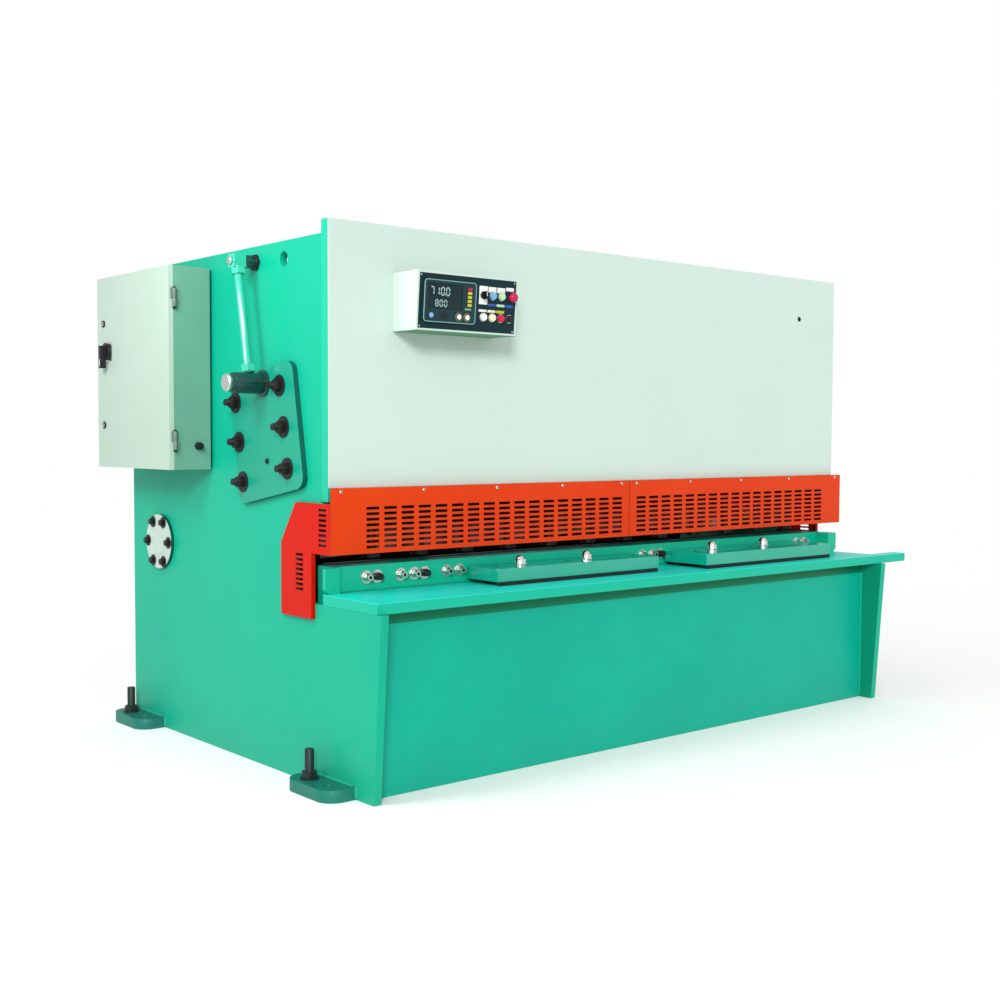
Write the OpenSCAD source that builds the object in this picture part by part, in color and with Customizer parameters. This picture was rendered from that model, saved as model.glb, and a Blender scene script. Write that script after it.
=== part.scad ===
// Hydraulic swing beam shear for sheet metal, a floor-standing workshop machine.
// X runs along the machine, +Y to the rear, +Z up, all in millimetres.
// The origin lies on the floor, in the middle of the four anchor holes.

/* [Node] */
// Sub-part to draw, or all of them

/* [Frame] */
// Width over the two side plates
frame_w = 2640; // [1600:10:4200]
// Thickness of a side plate
side_t = 30; // [16:1:60]
// Height of a side plate
side_h = 1767; // [1400:1:2200]
// Rear edge of the side plates
rear_y = 844; // [600:1:1200]
// Upper front edge of the side plates
brow_y = -535; // [-700:1:-400]
// Front edge of the side plates at the top of their toe
toe_top_y = -862; // [-1000:1:-700]
// Front edge of the side plates at the floor
toe_floor_y = -821; // [-1000:1:-700]
// Height of the toe, where the table plate lies
toe_h = 588; // [400:1:800]
// Rear wall of the throat in the side plates
throat_y = -352; // [-450:1:-250]
// Height of the throat above the toe
throat_up = 296; // [200:1:400]
// Corner radius in the throat
throat_r = 60; // [10:1:100]
// Diameter of the lifting hole
lift_d = 52; // [30:1:80]
// Lifting hole from front to rear
lift_y = -308; // [-450:1:0]
// Middle of the lifting hole below the top edge
lift_down = 61; // [40:1:120]

/* [Feet] */
// Length of a foot lug along the side plate
lug_l = 260; // [160:5:400]
// How far a foot lug stands out from the side plate
lug_w = 105; // [60:1:160]
// Thickness of a foot lug
lug_t = 40; // [20:1:60]
// Corner radius of a foot lug
lug_r = 58; // [10:1:100]
// Front end of a foot lug to its anchor hole
lug_front = 70; // [40:1:120]
// Spacing of the anchor holes from front to rear
anchor_pitch_y = 1310; // [900:5:1800]
// Anchor hole to the side plate
anchor_out = 55; // [30:1:90]
// Diameter of an anchor hole
anchor_d = 26; // [14:1:40]
// Levelling screw behind the anchor hole
screw_off = 110; // [60:1:160]
// Diameter of a levelling screw
screw_d = 30; // [16:1:40]
// Top of a levelling screw above the floor
screw_top = 136; // [80:1:200]

/* [Bed] */
// Front face of the plate that closes the bed
bed_y = -760; // [-840:1:-650]
// Thickness of that plate
bed_t = 20; // [10:1:40]
// Number of ribs inside the bed
bed_ribs_n = 5; // [2:1:9]
// Thickness of the ribs in the bed and in the swing beam
rib_t = 20; // [8:1:40]
// Underside of a bed rib at its front end
rib_low = 40; // [0:5:120]
// Front edge of the table plate
table_y = -840; // [-900:1:-780]
// Thickness of the table plate
table_t = 34; // [16:1:60]
// Part of the table plate that stands out on the right
table_over = 180; // [0:5:400]
// Width of that part
table_over_w = 60; // [20:5:120]
// Front face of the knife beam
knife_beam_y = -540; // [-570:1:-460]
// Thickness of the knife beam
knife_beam_t = 75; // [30:1:110]
// Underside of the knife beam
knife_beam_low = 150; // [80:5:300]
// Knife beam above the table
knife_beam_up = 86; // [40:1:140]
// Width of an end block in front of the knife beam
end_block_w = 58; // [20:1:100]
// Depth of the end block on the left
end_left_d = 14; // [6:1:100]
// Depth of the end block on the right
end_right_d = 66; // [6:1:120]
// Top of the end blocks below the knife beam
end_block_down = 2; // [0:1:20]
// Bevel along the lower outer edge of an end block
end_block_bevel = 16; // [0:1:40]

/* [Blades] */
// Thickness of a blade
blade_t = 25; // [16:1:40]
// Height of a blade
blade_h = 80; // [50:1:120]
// Cutting line above the knife beam
blade_up = 4; // [0:0.5:12]
// Gap between the two blades
blade_gap = 0.5; // [0.1:0.1:2]
// Opening of the blades at the low end of the rake
blade_open = 16; // [8:1:60]
// Rake of the upper blade in degrees
rake = 1.5; // [0.5:0.1:3]

/* [Table blocks] */
// Top of a block above the table
block_up = 58; // [30:1:90]
// Air under a block, between its two runners
block_air = 13; // [4:1:30]
// Gap between a block and the knife beam
block_gap = 9; // [2:1:30]
// Bevel along the front edge of a block
block_bevel = 6; // [0:1:12]
// Depth of the left block from front to rear
block_left_d = 163; // [100:1:260]
// Length of a block as a share of the width of the frame
block_share = 0.3; // [0.15:0.005:0.4]
// Left block from the left end of the frame, as a share of its width
block_left_share = 0.2216; // [0.05:0.0001:0.25]
// Depth of the right block from front to rear
block_right_d = 216; // [100:1:260]
// Right block from the right end of the frame, as a share of its width
block_right_share = 0.0985; // [0.05:0.0001:0.15]
// Width of a runner
runner_w = 30; // [10:1:60]
// Runner from the front edge and from the ends of its block
runner_in = 22; // [5:1:60]
// Balls of the left block, as shares of its length from its left end
balls_left = [0.226, 0.633]; // [0.1:0.001:0.9]
// Balls of the right block, as shares of its length
balls_right = [0.25, 0.658]; // [0.1:0.001:0.9]
// Row of balls, in front of the rear edge of the blocks
ball_row = 71; // [40:1:120]
// Diameter of a ball
ball_d = 32; // [16:1:40]
// Diameter of the cup that carries a ball
cup_d = 46; // [24:1:60]
// Height of the cup
cup_h = 20; // [8:1:28]
// Width of the flange round the foot of the cup
cup_step = 3; // [1:0.5:5]

/* [Swing beam] */
// Thickness of the face plate of the beam
beam_t = 60; // [30:1:90]
// Top of the face plate
beam_top = 1340; // [1100:5:1500]
// Lower edge of the face plate above the edge of the blade
beam_edge = 8; // [2:1:30]
// Gap between the beam and a side plate
beam_side_gap = 25; // [5:1:60]
// Underside of the web above the cutting line
web_up = 130; // [80:1:300]
// Thickness of the web
web_t = 36; // [16:1:60]
// Rear edge of the web
web_rear = 60; // [-100:5:300]
// Half the spacing of the outer ribs on the web, as a share of the width of the frame
web_rib_share = 0.227; // [0.1:0.001:0.35]
// Ends of the ribs from the edges of the web and the face plate
web_rib_in = 40; // [10:1:100]
// Thickness of an arm
arm_t = 50; // [20:1:80]
// Radius of an arm round the pivot
arm_r = 130; // [90:1:200]
// Lower edge of an arm above the cutting line
arm_low = 58; // [30:1:120]
// Top of an arm at the face plate, above the cutting line
arm_high = 348; // [200:1:500]
// Shoulder of an arm above the cutting line
arm_shoulder = 298; // [150:1:450]
// Front end of the shoulder
arm_shoulder_y = -300; // [-340:1:-100]
// Pivot of the beam from front to rear
pivot_y = 600; // [400:1:700]
// Pivot above the cutting line
pivot_up = 8; // [-60:1:100]
// Diameter of a pivot pin
pivot_d = 120; // [60:1:200]
// Pivot pin past the inner face of its arm
pivot_past = 12; // [0:1:40]
// Diameter of a pivot cap
cap_d = 208; // [140:1:300]
// Thickness of a pivot cap
cap_t = 14; // [8:1:30]
// Outer diameter of the groove in a cap
groove_d = 132; // [60:1:180]
// Width of the groove
groove_w = 12; // [4:1:20]
// Depth of the groove
groove_h = 2; // [1:0.5:5]

/* [Cylinders] */
// Lean of the main cylinders, top to the rear, in degrees
cyl_lean = 10; // [0:1:25]
// Middle of the bolt pattern of a cylinder plate
cyl_y = -191; // [-300:1:0]
// That middle above the cutting line
cyl_up = 419; // [250:1:600]
// Plate in front of that middle
plate_front = 235; // [150:1:300]
// Plate behind it
plate_rear = 185; // [150:1:300]
// Plate below it
plate_low = 213; // [150:1:300]
// Plate above it
plate_up = 210; // [150:1:300]
// Corner radius of the plate
plate_r = 42; // [5:1:90]
// Thickness of the plate
plate_t = 20; // [10:1:40]
// Outside diameter of a main cylinder
cyl_d = 170; // [100:1:240]
// Length of its barrel
cyl_l = 330; // [200:1:500]
// Barrel below the middle of the bolt pattern
cyl_low = 100; // [40:1:200]
// Gap between the barrel and the side plate
cyl_gap = 36; // [10:1:60]
// Width of the bracket that holds the barrel
bracket_w = 220; // [120:1:300]
// Height of that bracket
bracket_h = 240; // [120:1:300]
// Diameter of the piston rod
rod_d = 90; // [40:1:140]
// Length of the rod that the barrel hides
rod_in = 145; // [50:1:220]
// Diameter of a pipe
pipe_d = 28; // [12:1:40]
// Pipe from the side plate
pipe_out = 72; // [40:1:120]
// Top of a pipe from front to rear
pipe_top_y = -130; // [-250:1:0]
// Top of a pipe below the top of the side plate
pipe_down = 55; // [30:1:200]
// Side of the elbow block on a pipe
elbow_w = 44; // [30:1:70]
// Width of the nuts at the ends of a pipe, over the corners
nut_w = 48; // [34:1:70]
// Height of those nuts
nut_h = 24; // [12:1:36]
// Lower nut above the union
nut_off = 3; // [1:0.5:10]
// Union of a pipe from front to rear
union_y = -208; // [-300:1:-100]
// Union above the middle of the bolt pattern
union_up = 171; // [60:1:190]
// Diameter of a union
union_d = 70; // [40:1:100]
// Length of a union
union_l = 128; // [90:1:200]
// Length of the neck at the end of a union
neck_l = 14; // [4:1:30]
// Diameter of that neck
neck_d = 58; // [30:1:90]

/* [Hold-downs] */
// Number of hold-down cylinders
hold_n = 12; // [4:1:20]
// First hold-down from the side plate
hold_in = 190; // [100:5:400]
// Row of hold-downs in front of the cutting plane
hold_out = 50; // [45:1:80]
// Diameter of a barrel
hold_d = 80; // [50:1:120]
// Barrel below its beam
hold_drop = 60; // [20:1:100]
// Barrel above its beam
hold_stand = 60; // [20:1:100]
// Diameter of the neck of a barrel in its beam
hold_neck_d = 64; // [30:1:100]
// Diameter of a rod
hold_rod_d = 36; // [20:1:60]
// Diameter of a foot
hold_foot_d = 60; // [40:1:90]
// Thickness of a foot
hold_foot_t = 18; // [8:1:30]
// Foot above the cutting line
hold_open = 14; // [6:1:60]
// Underside of the beam that carries the hold-downs, above the cutting line
hold_up = 193; // [120:1:300]
// Depth of that beam
hold_beam_w = 86; // [60:1:140]
// Thickness of that beam
hold_beam_t = 60; // [20:1:90]

/* [Cover] */
// Front face of the cover
cover_y = -575; // [-650:1:-540]
// Cover above the side plates
cover_up = 43; // [0:1:100]
// Thickness of the sheets of the cover and the guard
sheet_t = 3; // [1:0.5:6]
// Fold along the edges of the cover
cover_fold = 22; // [10:1:40]
// Width of the edge bars behind the cover's ends
bar_w = 30; // [10:1:60]
// Edge bars below the cover
bar_drop = 45; // [0:1:90]
// Clearance between the folds and the edge bars
bar_clear = 1; // [0.3:0.1:4]
// Height of the rail that the cover hangs on
rail_h = 70; // [30:1:120]
// Depth of that rail
rail_w = 73; // [30:1:120]
// Thickness of that rail
rail_t = 8; // [4:1:16]
// Rail below the top of the side plates
rail_down = 7; // [0:1:60]

/* [Finger guard] */
// Front face of the guard
guard_y = -611; // [-660:1:-590]
// Lower edge of the guard above the cutting line
guard_up = 40; // [20:1:80]
// Height of the guard
guard_h = 211; // [150:1:300]
// Guard past the side plates
guard_over = 16; // [4:1:40]
// Half the gap between the two panels
panel_gap = 1; // [0:0.5:10]
// Fold along the lower edge of the guard
guard_fold = 20; // [8:1:40]
// Columns of slots in each panel
slot_cols = 17; // [4:1:24]
// First column from the middle of the machine
slot_first = 65; // [40:1:120]
// Last column from the end of the frame
slot_end = 145; // [60:1:300]
// Width of a slot
slot_w = 50; // [20:1:60]
// Height of a slot
slot_h = 9; // [4:1:14]
// Slots in a column
slot_rows = 8; // [2:1:10]
// Pitch of the slots in a column
slot_step = 17.8; // [10:0.1:22]
// Lowest slot above the lower edge
slot_low = 16; // [8:1:30]
// Top of a side piece above the lower edge of the guard
side_up = 161; // [100:1:200]
// Upper rear corner of a side piece
side_top_y = -402; // [-450:1:-360]
// Rear edge of a side piece
side_rear_y = -311; // [-350:1:-250]
// Top of its rear edge above the lower edge of the guard
side_rear_up = 27; // [0:1:80]
// Lower end of a side piece below the lower edge of the guard
side_drop = 212; // [100:1:240]
// Front edge of its lower part
side_low_y = -497; // [-530:1:-460]
// Height of a slot in a side piece
side_slot_h = 8; // [4:1:12]
// Pitch of those slots
side_slot_step = 16; // [10:1:20]
// Front edges of the two columns of those slots
side_slot_y = [-585, -447]; // [-600:1:-350]
// Lowest slots above the lower edge of the guard
side_slot_up = [25, -124]; // [-200:1:100]
// Width of those slots
side_slot_w = 45; // [20:1:60]

/* [Control box] */
// Left end of the box from the left end of the frame
box_in = 248; // [60:1:600]
// Width of the box
box_w = 420; // [250:1:600]
// Lower edge of the box below the top of the cover
box_down = 343; // [250:1:600]
// Height of the box
box_h = 190; // [120:1:300]
// Depth of the box at its top
box_top_d = 140; // [80:1:200]
// Depth of the box at its lower edge
box_low_d = 125; // [80:1:200]
// Rim round the control panel
box_rim = 7; // [3:1:20]
// Thickness of the control panel
panel_t = 3; // [1:0.5:6]
// Sink of the panel's face below the rim
panel_in = 1; // [0:0.5:3]
// Fit of the panel in its recess
panel_fit = 0.2; // [0.1:0.1:1]
// Columns of buttons from the left end of the box
button_x = [272, 310, 348, 386]; // [200:1:400]
// Rows of buttons from the lower edge of the box
button_z = [56, 128]; // [20:1:170]
// Diameter of a push button
button_d = 22; // [12:1:30]
// How far a push button stands out
button_out = 9; // [4:1:20]
// Width of the collar of a button
button_collar = 3.5; // [1:0.5:8]
// Radius of the stem of the selector
knob_stem_r = 5; // [3:0.5:8]
// Radius of the stem of the emergency stop
stop_stem_r = 8; // [4:0.5:10]
// Depth of the bores behind the two stems
stem_bore = 40; // [20:1:60]
// Radius of those bores
stem_bore_r = 11; // [8:1:16]
// Radius of the mushroom head
stop_r = 16; // [10:1:22]
// Left and right edge of the controller
ctl_x = [22, 238]; // [10:1:260]
// Lower and upper edge of the controller
ctl_z = [27, 166]; // [10:1:180]
// Corner radius of the controller
ctl_r = 12; // [2:1:20]
// How far the controller stands out
ctl_out = 6; // [2:1:12]
// Left and right edge of its window
window_x = [38, 180]; // [20:1:220]
// Lower and upper edge of its window
window_z = [72, 153]; // [20:1:170]
// Depth of the window
window_h = 2; // [0.5:0.5:4]
// Column of small keys from the left end of the box
key_x = 208; // [180:1:230]
// Lowest of the small keys
key_z = 90; // [60:1:120]
// Pitch of the small keys
key_step = 13; // [9:1:20]
// Width and height of a small key
key_size = [16, 9]; // [6:1:20]
// Row of round keys along the box
round_x = [53, 108, 167, 201]; // [40:1:220]
// Row of round keys above the lower edge
round_z = 50; // [40:1:70]
// Diameter of a round key
round_d = 22; // [12:1:28]

/* [Switch cabinet] */
// Width of the cabinet along the frame
cab_w = 600; // [400:5:900]
// Depth of its body
cab_d = 140; // [100:1:300]
// Front edge of the cabinet
cab_y = 178; // [100:1:230]
// Bottom of the cabinet above the pivot
cab_up = 286; // [150:1:400]
// Top of the cabinet below the top of the side plate
cab_down = 46; // [0:1:150]
// Cabinet from the side plate
cab_off = 12; // [4:1:40]
// Sheet thickness of the cabinet
cab_t = 2; // [1:0.5:4]
// Rim round the door opening
cab_rim = 25; // [15:1:50]
// Height of a mounting rail behind the cabinet
cab_rail_h = 40; // [20:1:80]
// Mounting rails from the top, the bottom and the sides of the cabinet
cab_rail_in = 60; // [20:1:120]
// Thickness of the door
door_t = 18; // [10:1:30]
// Gap between door and body
door_gap = 1; // [0.5:0.5:4]
// Lower hinge above the bottom of the cabinet
hinge_low = 101; // [40:1:200]
// Upper hinge below the top of the cabinet
hinge_high = 114; // [40:1:200]
// Length of a hinge
hinge_l = 60; // [30:1:100]
// Hinge axis in front of the cabinet
hinge_out = 7; // [5:1:12]
// Diameter of a hinge pin
hinge_pin_d = 8; // [4:1:10]
// Diameter of a hinge knuckle
knuckle_d = 14; // [10:1:20]
// Running clearance of pins and stems on the radius
pin_clear = 0.08; // [0.02:0.01:0.2]
// Locks in front of the door's rear edge
lock_in = 58; // [30:1:120]
// Lower lock above the bottom of the cabinet
lock_low = 159; // [40:1:200]
// Upper lock below the top of the cabinet
lock_high = 173; // [40:1:200]
// Diameter of a door lock
lock_d = 18; // [12:1:30]
// Main switch in front of the door's rear edge
switch_in = 93; // [70:1:300]
// Main switch below the top of the cabinet
switch_down = 280; // [260:1:360]
// Diameter of the base of the main switch
switch_d = 64; // [40:1:90]
// Radius of its spindle
spindle_r = 8; // [4:0.5:10]
// Length of its handle below the spindle
handle_l = 62; // [40:1:90]
// Width of its handle
handle_w = 18; // [10:1:30]
// Cable gland behind the hinge axis, seen across the cabinet
gland_in = 91; // [30:1:120]
// Cable gland above the bottom of the cabinet
gland_up = 84; // [30:1:200]
// Diameter of the cable gland
gland_d = 22; // [12:1:40]

/* [Rear] */
// Front of the oil tank
tank_y0 = 300; // [200:5:500]
// Rear of the oil tank
tank_y1 = 760; // [600:5:840]
// Underside of the oil tank
tank_z0 = 1150; // [1000:5:1300]
// Height of the oil tank
tank_h = 290; // [150:5:400]
// Diameter of the pump motor
motor_d = 220; // [150:5:300]
// Height of the pump motor
motor_h = 360; // [250:5:500]
// Pump motor from the left end of the frame
motor_in = 820; // [300:10:1400]
// Flange under the pump motor
flange_t = 18; // [10:1:30]
// Height of the fan cowl
cowl_h = 74; // [40:1:120]
// Terminal box of the motor, a cube cut by the motor
terminal_w = 100; // [60:1:140]
// Front of the back gauge bar
gauge_bar_y = 180; // [80:5:280]
// Thickness of the back gauge bar
gauge_bar_t = 60; // [20:1:90]
// Height of the back gauge bar
gauge_bar_h = 110; // [60:1:160]
// Underside of the back gauge bar below its shafts
gauge_bar_low = 65; // [30:1:100]
// Ends of the back gauge bar from the side plates
gauge_bar_in = 110; // [80:5:300]
// Guide shafts below the web
gauge_down = 95; // [75:1:120]
// Lower edge of a bracket below its shafts
gauge_low = 15; // [0:1:40]
// Brackets of the guide shafts from the ends of the frame
gauge_in = 500; // [300:10:800]
// Width of such a bracket
gauge_bracket_w = 120; // [90:1:160]
// Thickness of such a bracket
gauge_bracket_t = 40; // [20:1:60]
// Half the spacing of the two shafts of a bracket
gauge_half = 30; // [22:1:45]
// Diameter of a guide shaft
gauge_d = 32; // [20:1:50]
// Length of a guide shaft
gauge_l = 780; // [600:10:1000]
// Front top edge of the chute
chute_z0 = 560; // [400:5:600]
// Rear low edge of the chute
chute_z1 = 230; // [100:5:400]
// Rear edge of the chute
chute_y1 = 560; // [300:5:700]
// Sheet of the chute
chute_t = 6; // [3:1:12]
// Underside of the rear cross beam
cross_z = 120; // [0:5:200]
// Height of the rear cross beam
cross_h = 200; // [100:5:300]
// Thickness of the rear cross beam
cross_t = 100; // [50:5:150]
// Rear cross beam in front of the rear edge of the side plates
cross_in = 20; // [0:5:100]

/* [Hidden] */
$fn = 64;
seat = 0.3;
over = 1;
half_w = frame_w / 2;
inner_x = half_w - side_t;
beam_x = inner_x - beam_side_gap;
throat_top = toe_h + throat_up;
table_top = toe_h + table_t;
knife_beam_top = table_top + knife_beam_up;
cut_z = knife_beam_top + blade_up;
shear_y = knife_beam_y + knife_beam_t + blade_t;
upper_y = shear_y + blade_gap;
beam_y = upper_y + blade_t;
beam_rear = beam_y + beam_t;
blade_low = cut_z + blade_open;
block_top = table_top + block_up;
block_rear = knife_beam_y - block_gap;
block_l = frame_w * block_share;
block_left_x = -half_w + frame_w * block_left_share;
block_right_x = half_w - frame_w * block_right_share - block_l;
anchor_x = half_w + anchor_out;
anchor_y = anchor_pitch_y / 2;
web_z = cut_z + web_up;
pivot_z = cut_z + pivot_up;
cyl_z = cut_z + cyl_up;
cyl_in = cyl_gap + cyl_d / 2;
pipe_top_z = side_h - pipe_down;
union_z = cyl_z + union_up;
hold_y = shear_y - hold_out;
hold_z = cut_z + hold_up;
hold_pitch = 2 * (inner_x - hold_in) / (hold_n - 1);
guard_z0 = cut_z + guard_up;
cover_z0 = guard_z0 + guard_h;
cover_z1 = side_h + cover_up;
bar_z0 = cover_z0 - bar_drop;
slot_pitch = (half_w - slot_end - slot_first) / (slot_cols - 1);
box_x = -half_w + box_in;
box_z = cover_z1 - box_down;
box_lean = atan((box_top_d - box_low_d) / box_h);
cab_z = pivot_z + cab_up;
cab_h = side_h - cab_down - cab_z;
hinge_up = [hinge_low, cab_h - hinge_high];
lock_up = [lock_low, cab_h - lock_high];
cab_x = -half_w - cab_off - cab_d;
door_x = cab_x - door_gap;
face_x = door_x - door_t;
hinge_y = cab_y - hinge_out;
switch_y = cab_y + cab_w - switch_in;
switch_z = cab_z + cab_h - switch_down;
gauge_z = web_z - gauge_down;
gauge_x = [-half_w + gauge_in, half_w - gauge_in];

// Names of the sub-parts

frame_col = [0.16, 0.71, 0.58];
pale_col = [0.86, 0.93, 0.88];
guard_col = [0.95, 0.22, 0.06];
steel_col = [0.72, 0.74, 0.76];
dark_col = [0.08, 0.09, 0.11];

// Shapes drawn in the YZ plane and made t thick along +X from x
module along_x(x, t) {
    translate([x, 0, 0])
        rotate([90, 0, 90])
            linear_extrude(t)
                children();
}

// Both copies of a piece that stands on the left, mirrored in the middle plane
module both_ends() {
    children();
    mirror([1, 0, 0])
        children();
}

// Rectangle with rounded corners from (a, b) to (c, d)
module round_rect(a, b, c, d, r) {
    translate([a + r, b])
        square([c - a - 2 * r, d - b]);
    translate([a, b + r])
        square([c - a, d - b - 2 * r]);
    for (u = [a + r, c - r], v = [b + r, d - r])
        translate([u, v])
            circle(r);
}

module side_outline() {
    difference() {
        polygon([
            [toe_floor_y, 0], [rear_y, 0], [rear_y, side_h], [brow_y, side_h],
            [brow_y, throat_top], [brow_y, toe_h], [toe_top_y, toe_h]
        ]);
        throat_profile();
        translate([lift_y, side_h - lift_down])
            circle(d = lift_d);
        translate([pivot_y, pivot_z])
            circle(d = pivot_d + 2 * seat);
    }
}

// Throat open to the front, with round corners at its rear wall
module throat_profile() {
    translate([brow_y - over, toe_h])
        square([throat_y - throat_r - brow_y + over, throat_up]);
    translate([brow_y, toe_h + throat_r])
        square([throat_y - brow_y, throat_up - 2 * throat_r]);
    for (z = [toe_h + throat_r, throat_top - throat_r])
        translate([throat_y - throat_r, z])
            circle(throat_r);
}

module side_plate_left() {
    color(frame_col)
        along_x(-half_w, side_t)
            side_outline();
}

module side_plate_right() {
    color(frame_col)
        along_x(inner_x, side_t)
            side_outline();
}

// One foot lug with its anchor hole and the hole of its levelling screw
module lug(y) {
    x0 = -half_w - lug_w;
    difference() {
        linear_extrude(lug_t)
            difference() {
                translate([x0, y - lug_front])
                    square([lug_w, lug_l]);
                for (k = [0, 1])
                    translate([x0, y - lug_front + k * lug_l])
                        mirror([0, k, 0])
                            difference() {
                                translate([-over, -over])
                                    square(lug_r + over);
                                translate([lug_r, lug_r])
                                    circle(lug_r);
                            }
            }
        translate([-anchor_x, y, -over])
            cylinder(d = anchor_d, h = lug_t + 2 * over);
        translate([-anchor_x, y + screw_off, -over])
            cylinder(d = screw_d + 2 * seat, h = lug_t + 2 * over);
    }
}

module foot_lugs() {
    color(frame_col)
        both_ends() {
            lug(-anchor_y);
            lug(anchor_y);
        }
}

module levelling_screws() {
    color(dark_col)
        both_ends()
            for (y = [-anchor_y, anchor_y])
                translate([-anchor_x, y + screw_off, 0]) {
                    cylinder(d = screw_d, h = screw_top);
                    translate([0, 0, lug_t])
                        cylinder(d = screw_d * 1.8, h = screw_d * 0.8, $fn = 6);
                }
}

module bed_front_plate() {
    color(frame_col)
        translate([-inner_x, bed_y, 0])
            cube([2 * inner_x, bed_t, toe_h]);
}

module bed_ribs() {
    pitch = 2 * inner_x / (bed_ribs_n + 1);
    color(frame_col)
        for (k = [1 : bed_ribs_n])
            along_x(-inner_x + k * pitch - rib_t / 2, rib_t)
                polygon([
                    [bed_y + bed_t, rib_low], [knife_beam_y, knife_beam_low],
                    [knife_beam_y, toe_h], [bed_y + bed_t, toe_h]
                ]);
}

module table_plate() {
    color(frame_col) {
        translate([-half_w, table_y, toe_h])
            cube([frame_w, knife_beam_y - table_y, table_t]);
        translate([half_w, table_y, toe_h])
            cube([table_over, table_over_w, table_t]);
    }
}

module lower_knife_beam() {
    color(frame_col)
        translate([-inner_x, knife_beam_y, knife_beam_low])
            cube([2 * inner_x, knife_beam_t, knife_beam_top - knife_beam_low]);
}

// End block on the right, standing on the table in front of the knife beam
module end_block(depth) {
    z1 = knife_beam_top - end_block_down;
    translate([0, knife_beam_y, 0])
        rotate([90, 0, 0])
            linear_extrude(depth)
                polygon([
                    [half_w - end_block_w, table_top], [half_w - end_block_bevel, table_top],
                    [half_w, table_top + end_block_bevel], [half_w, z1],
                    [half_w - end_block_w, z1]
                ]);
}

module beam_end_blocks() {
    color(frame_col) {
        end_block(end_right_d);
        mirror([1, 0, 0])
            end_block(end_left_d);
    }
}

module lower_blade() {
    color(steel_col)
        translate([-beam_x, shear_y - blade_t, cut_z - blade_h])
            cube([2 * beam_x, blade_t, blade_h]);
}

// Table block on its two runners, with a bevelled front edge
module table_block(x0, depth) {
    front = block_rear - depth;
    z0 = table_top + block_air;
    color(frame_col) {
        along_x(x0, block_l)
            polygon([
                [front, z0], [block_rear, z0], [block_rear, block_top],
                [front + block_bevel, block_top], [front, block_top - block_bevel]
            ]);
        for (y = [front + runner_in, block_rear - runner_in - runner_w])
            translate([x0 + runner_in, y, table_top])
                cube([block_l - 2 * runner_in, runner_w, block_air]);
    }
}

module table_block_left() {
    table_block(block_left_x, block_left_d);
}

module table_block_right() {
    table_block(block_right_x, block_right_d);
}

// Steel balls in cups, on which the sheet slides to the blades
module ball_units() {
    places = concat(
        [for (u = balls_left) block_left_x + u * block_l],
        [for (u = balls_right) block_right_x + u * block_l]
    );
    color(steel_col)
        for (x = places)
            translate([x, block_rear - ball_row, block_top]) {
                rotate_extrude()
                    polygon([
                        [0, 0], [cup_d / 2, 0], [cup_d / 2, cup_h / 4],
                        [cup_d / 2 - cup_step, cup_h / 4], [cup_d / 2 - cup_step, cup_h - cup_step],
                        [cup_d / 2 - 2 * cup_step, cup_h], [0, cup_h]
                    ]);
                translate([0, 0, cut_z - block_top - ball_d / 2])
                    sphere(d = ball_d);
            }
}

// Face plate of the swing beam, its lower edge parallel to the upper blade
module swing_beam_face() {
    h = beam_top - blade_low;
    color(frame_col)
        difference() {
            translate([-beam_x, beam_y, blade_low])
                cube([2 * beam_x, beam_t, h]);
            translate([-beam_x - over, beam_y - over, blade_low + beam_edge])
                rotate([0, -rake, 0])
                    translate([-blade_h, 0, -h])
                        cube([2 * beam_x + 2 * blade_h, beam_t + 2 * over, h]);
        }
}

module swing_beam_web() {
    rib_x = frame_w * web_rib_share;
    rib_z = web_z + web_t - over;
    color(frame_col) {
        translate([-beam_x + arm_t, beam_rear, web_z])
            cube([2 * (beam_x - arm_t), web_rear - beam_rear, web_t]);
        for (x = [-rib_x, 0, rib_x])
            along_x(x - rib_t / 2, rib_t)
                polygon([
                    [beam_rear, rib_z], [web_rear - web_rib_in, rib_z],
                    [beam_rear, beam_top - web_rib_in]
                ]);
    }
}

// Arm from the face plate back to the pivot
module swing_arms() {
    color(frame_col)
        both_ends()
            along_x(-beam_x, arm_t)
                difference() {
                    union() {
                        polygon([
                            [beam_rear, cut_z + arm_low], [pivot_y, pivot_z - arm_r],
                            [pivot_y, pivot_z + arm_r], [web_rear, cut_z + arm_shoulder],
                            [arm_shoulder_y, cut_z + arm_shoulder],
                            [beam_rear, cut_z + arm_high]
                        ]);
                        translate([pivot_y, pivot_z])
                            circle(arm_r);
                    }
                    translate([pivot_y, pivot_z])
                        circle(d = pivot_d + 2 * seat);
                }
}

// Upper blade, raked so that it meets the sheet from the left end
module upper_blade() {
    color(steel_col)
        intersection() {
            translate([-beam_x, upper_y, blade_low - over])
                cube([2 * beam_x, blade_t, 4 * blade_h]);
            translate([-beam_x, upper_y, blade_low])
                rotate([0, -rake, 0])
                    translate([-blade_h, 0, 0])
                        cube([2 * beam_x + 2 * blade_h, blade_t, blade_h]);
        }
}

module pivot_pins() {
    color(steel_col)
        both_ends()
            translate([-half_w, pivot_y, pivot_z])
                rotate([0, 90, 0])
                    cylinder(d = pivot_d, h = side_t + beam_side_gap + arm_t + pivot_past);
}

// Pivot cap with a turned groove
module pivot_caps() {
    color(pale_col)
        both_ends()
            translate([-half_w, pivot_y, pivot_z])
                rotate([0, -90, 0])
                    difference() {
                        cylinder(d = cap_d, h = cap_t);
                        translate([0, 0, cap_t - groove_h])
                            difference() {
                                cylinder(d = groove_d, h = groove_h + over);
                                translate([0, 0, -over])
                                    cylinder(d = groove_d - 2 * groove_w, h = groove_h + 3 * over);
                            }
                    }
}

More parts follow.
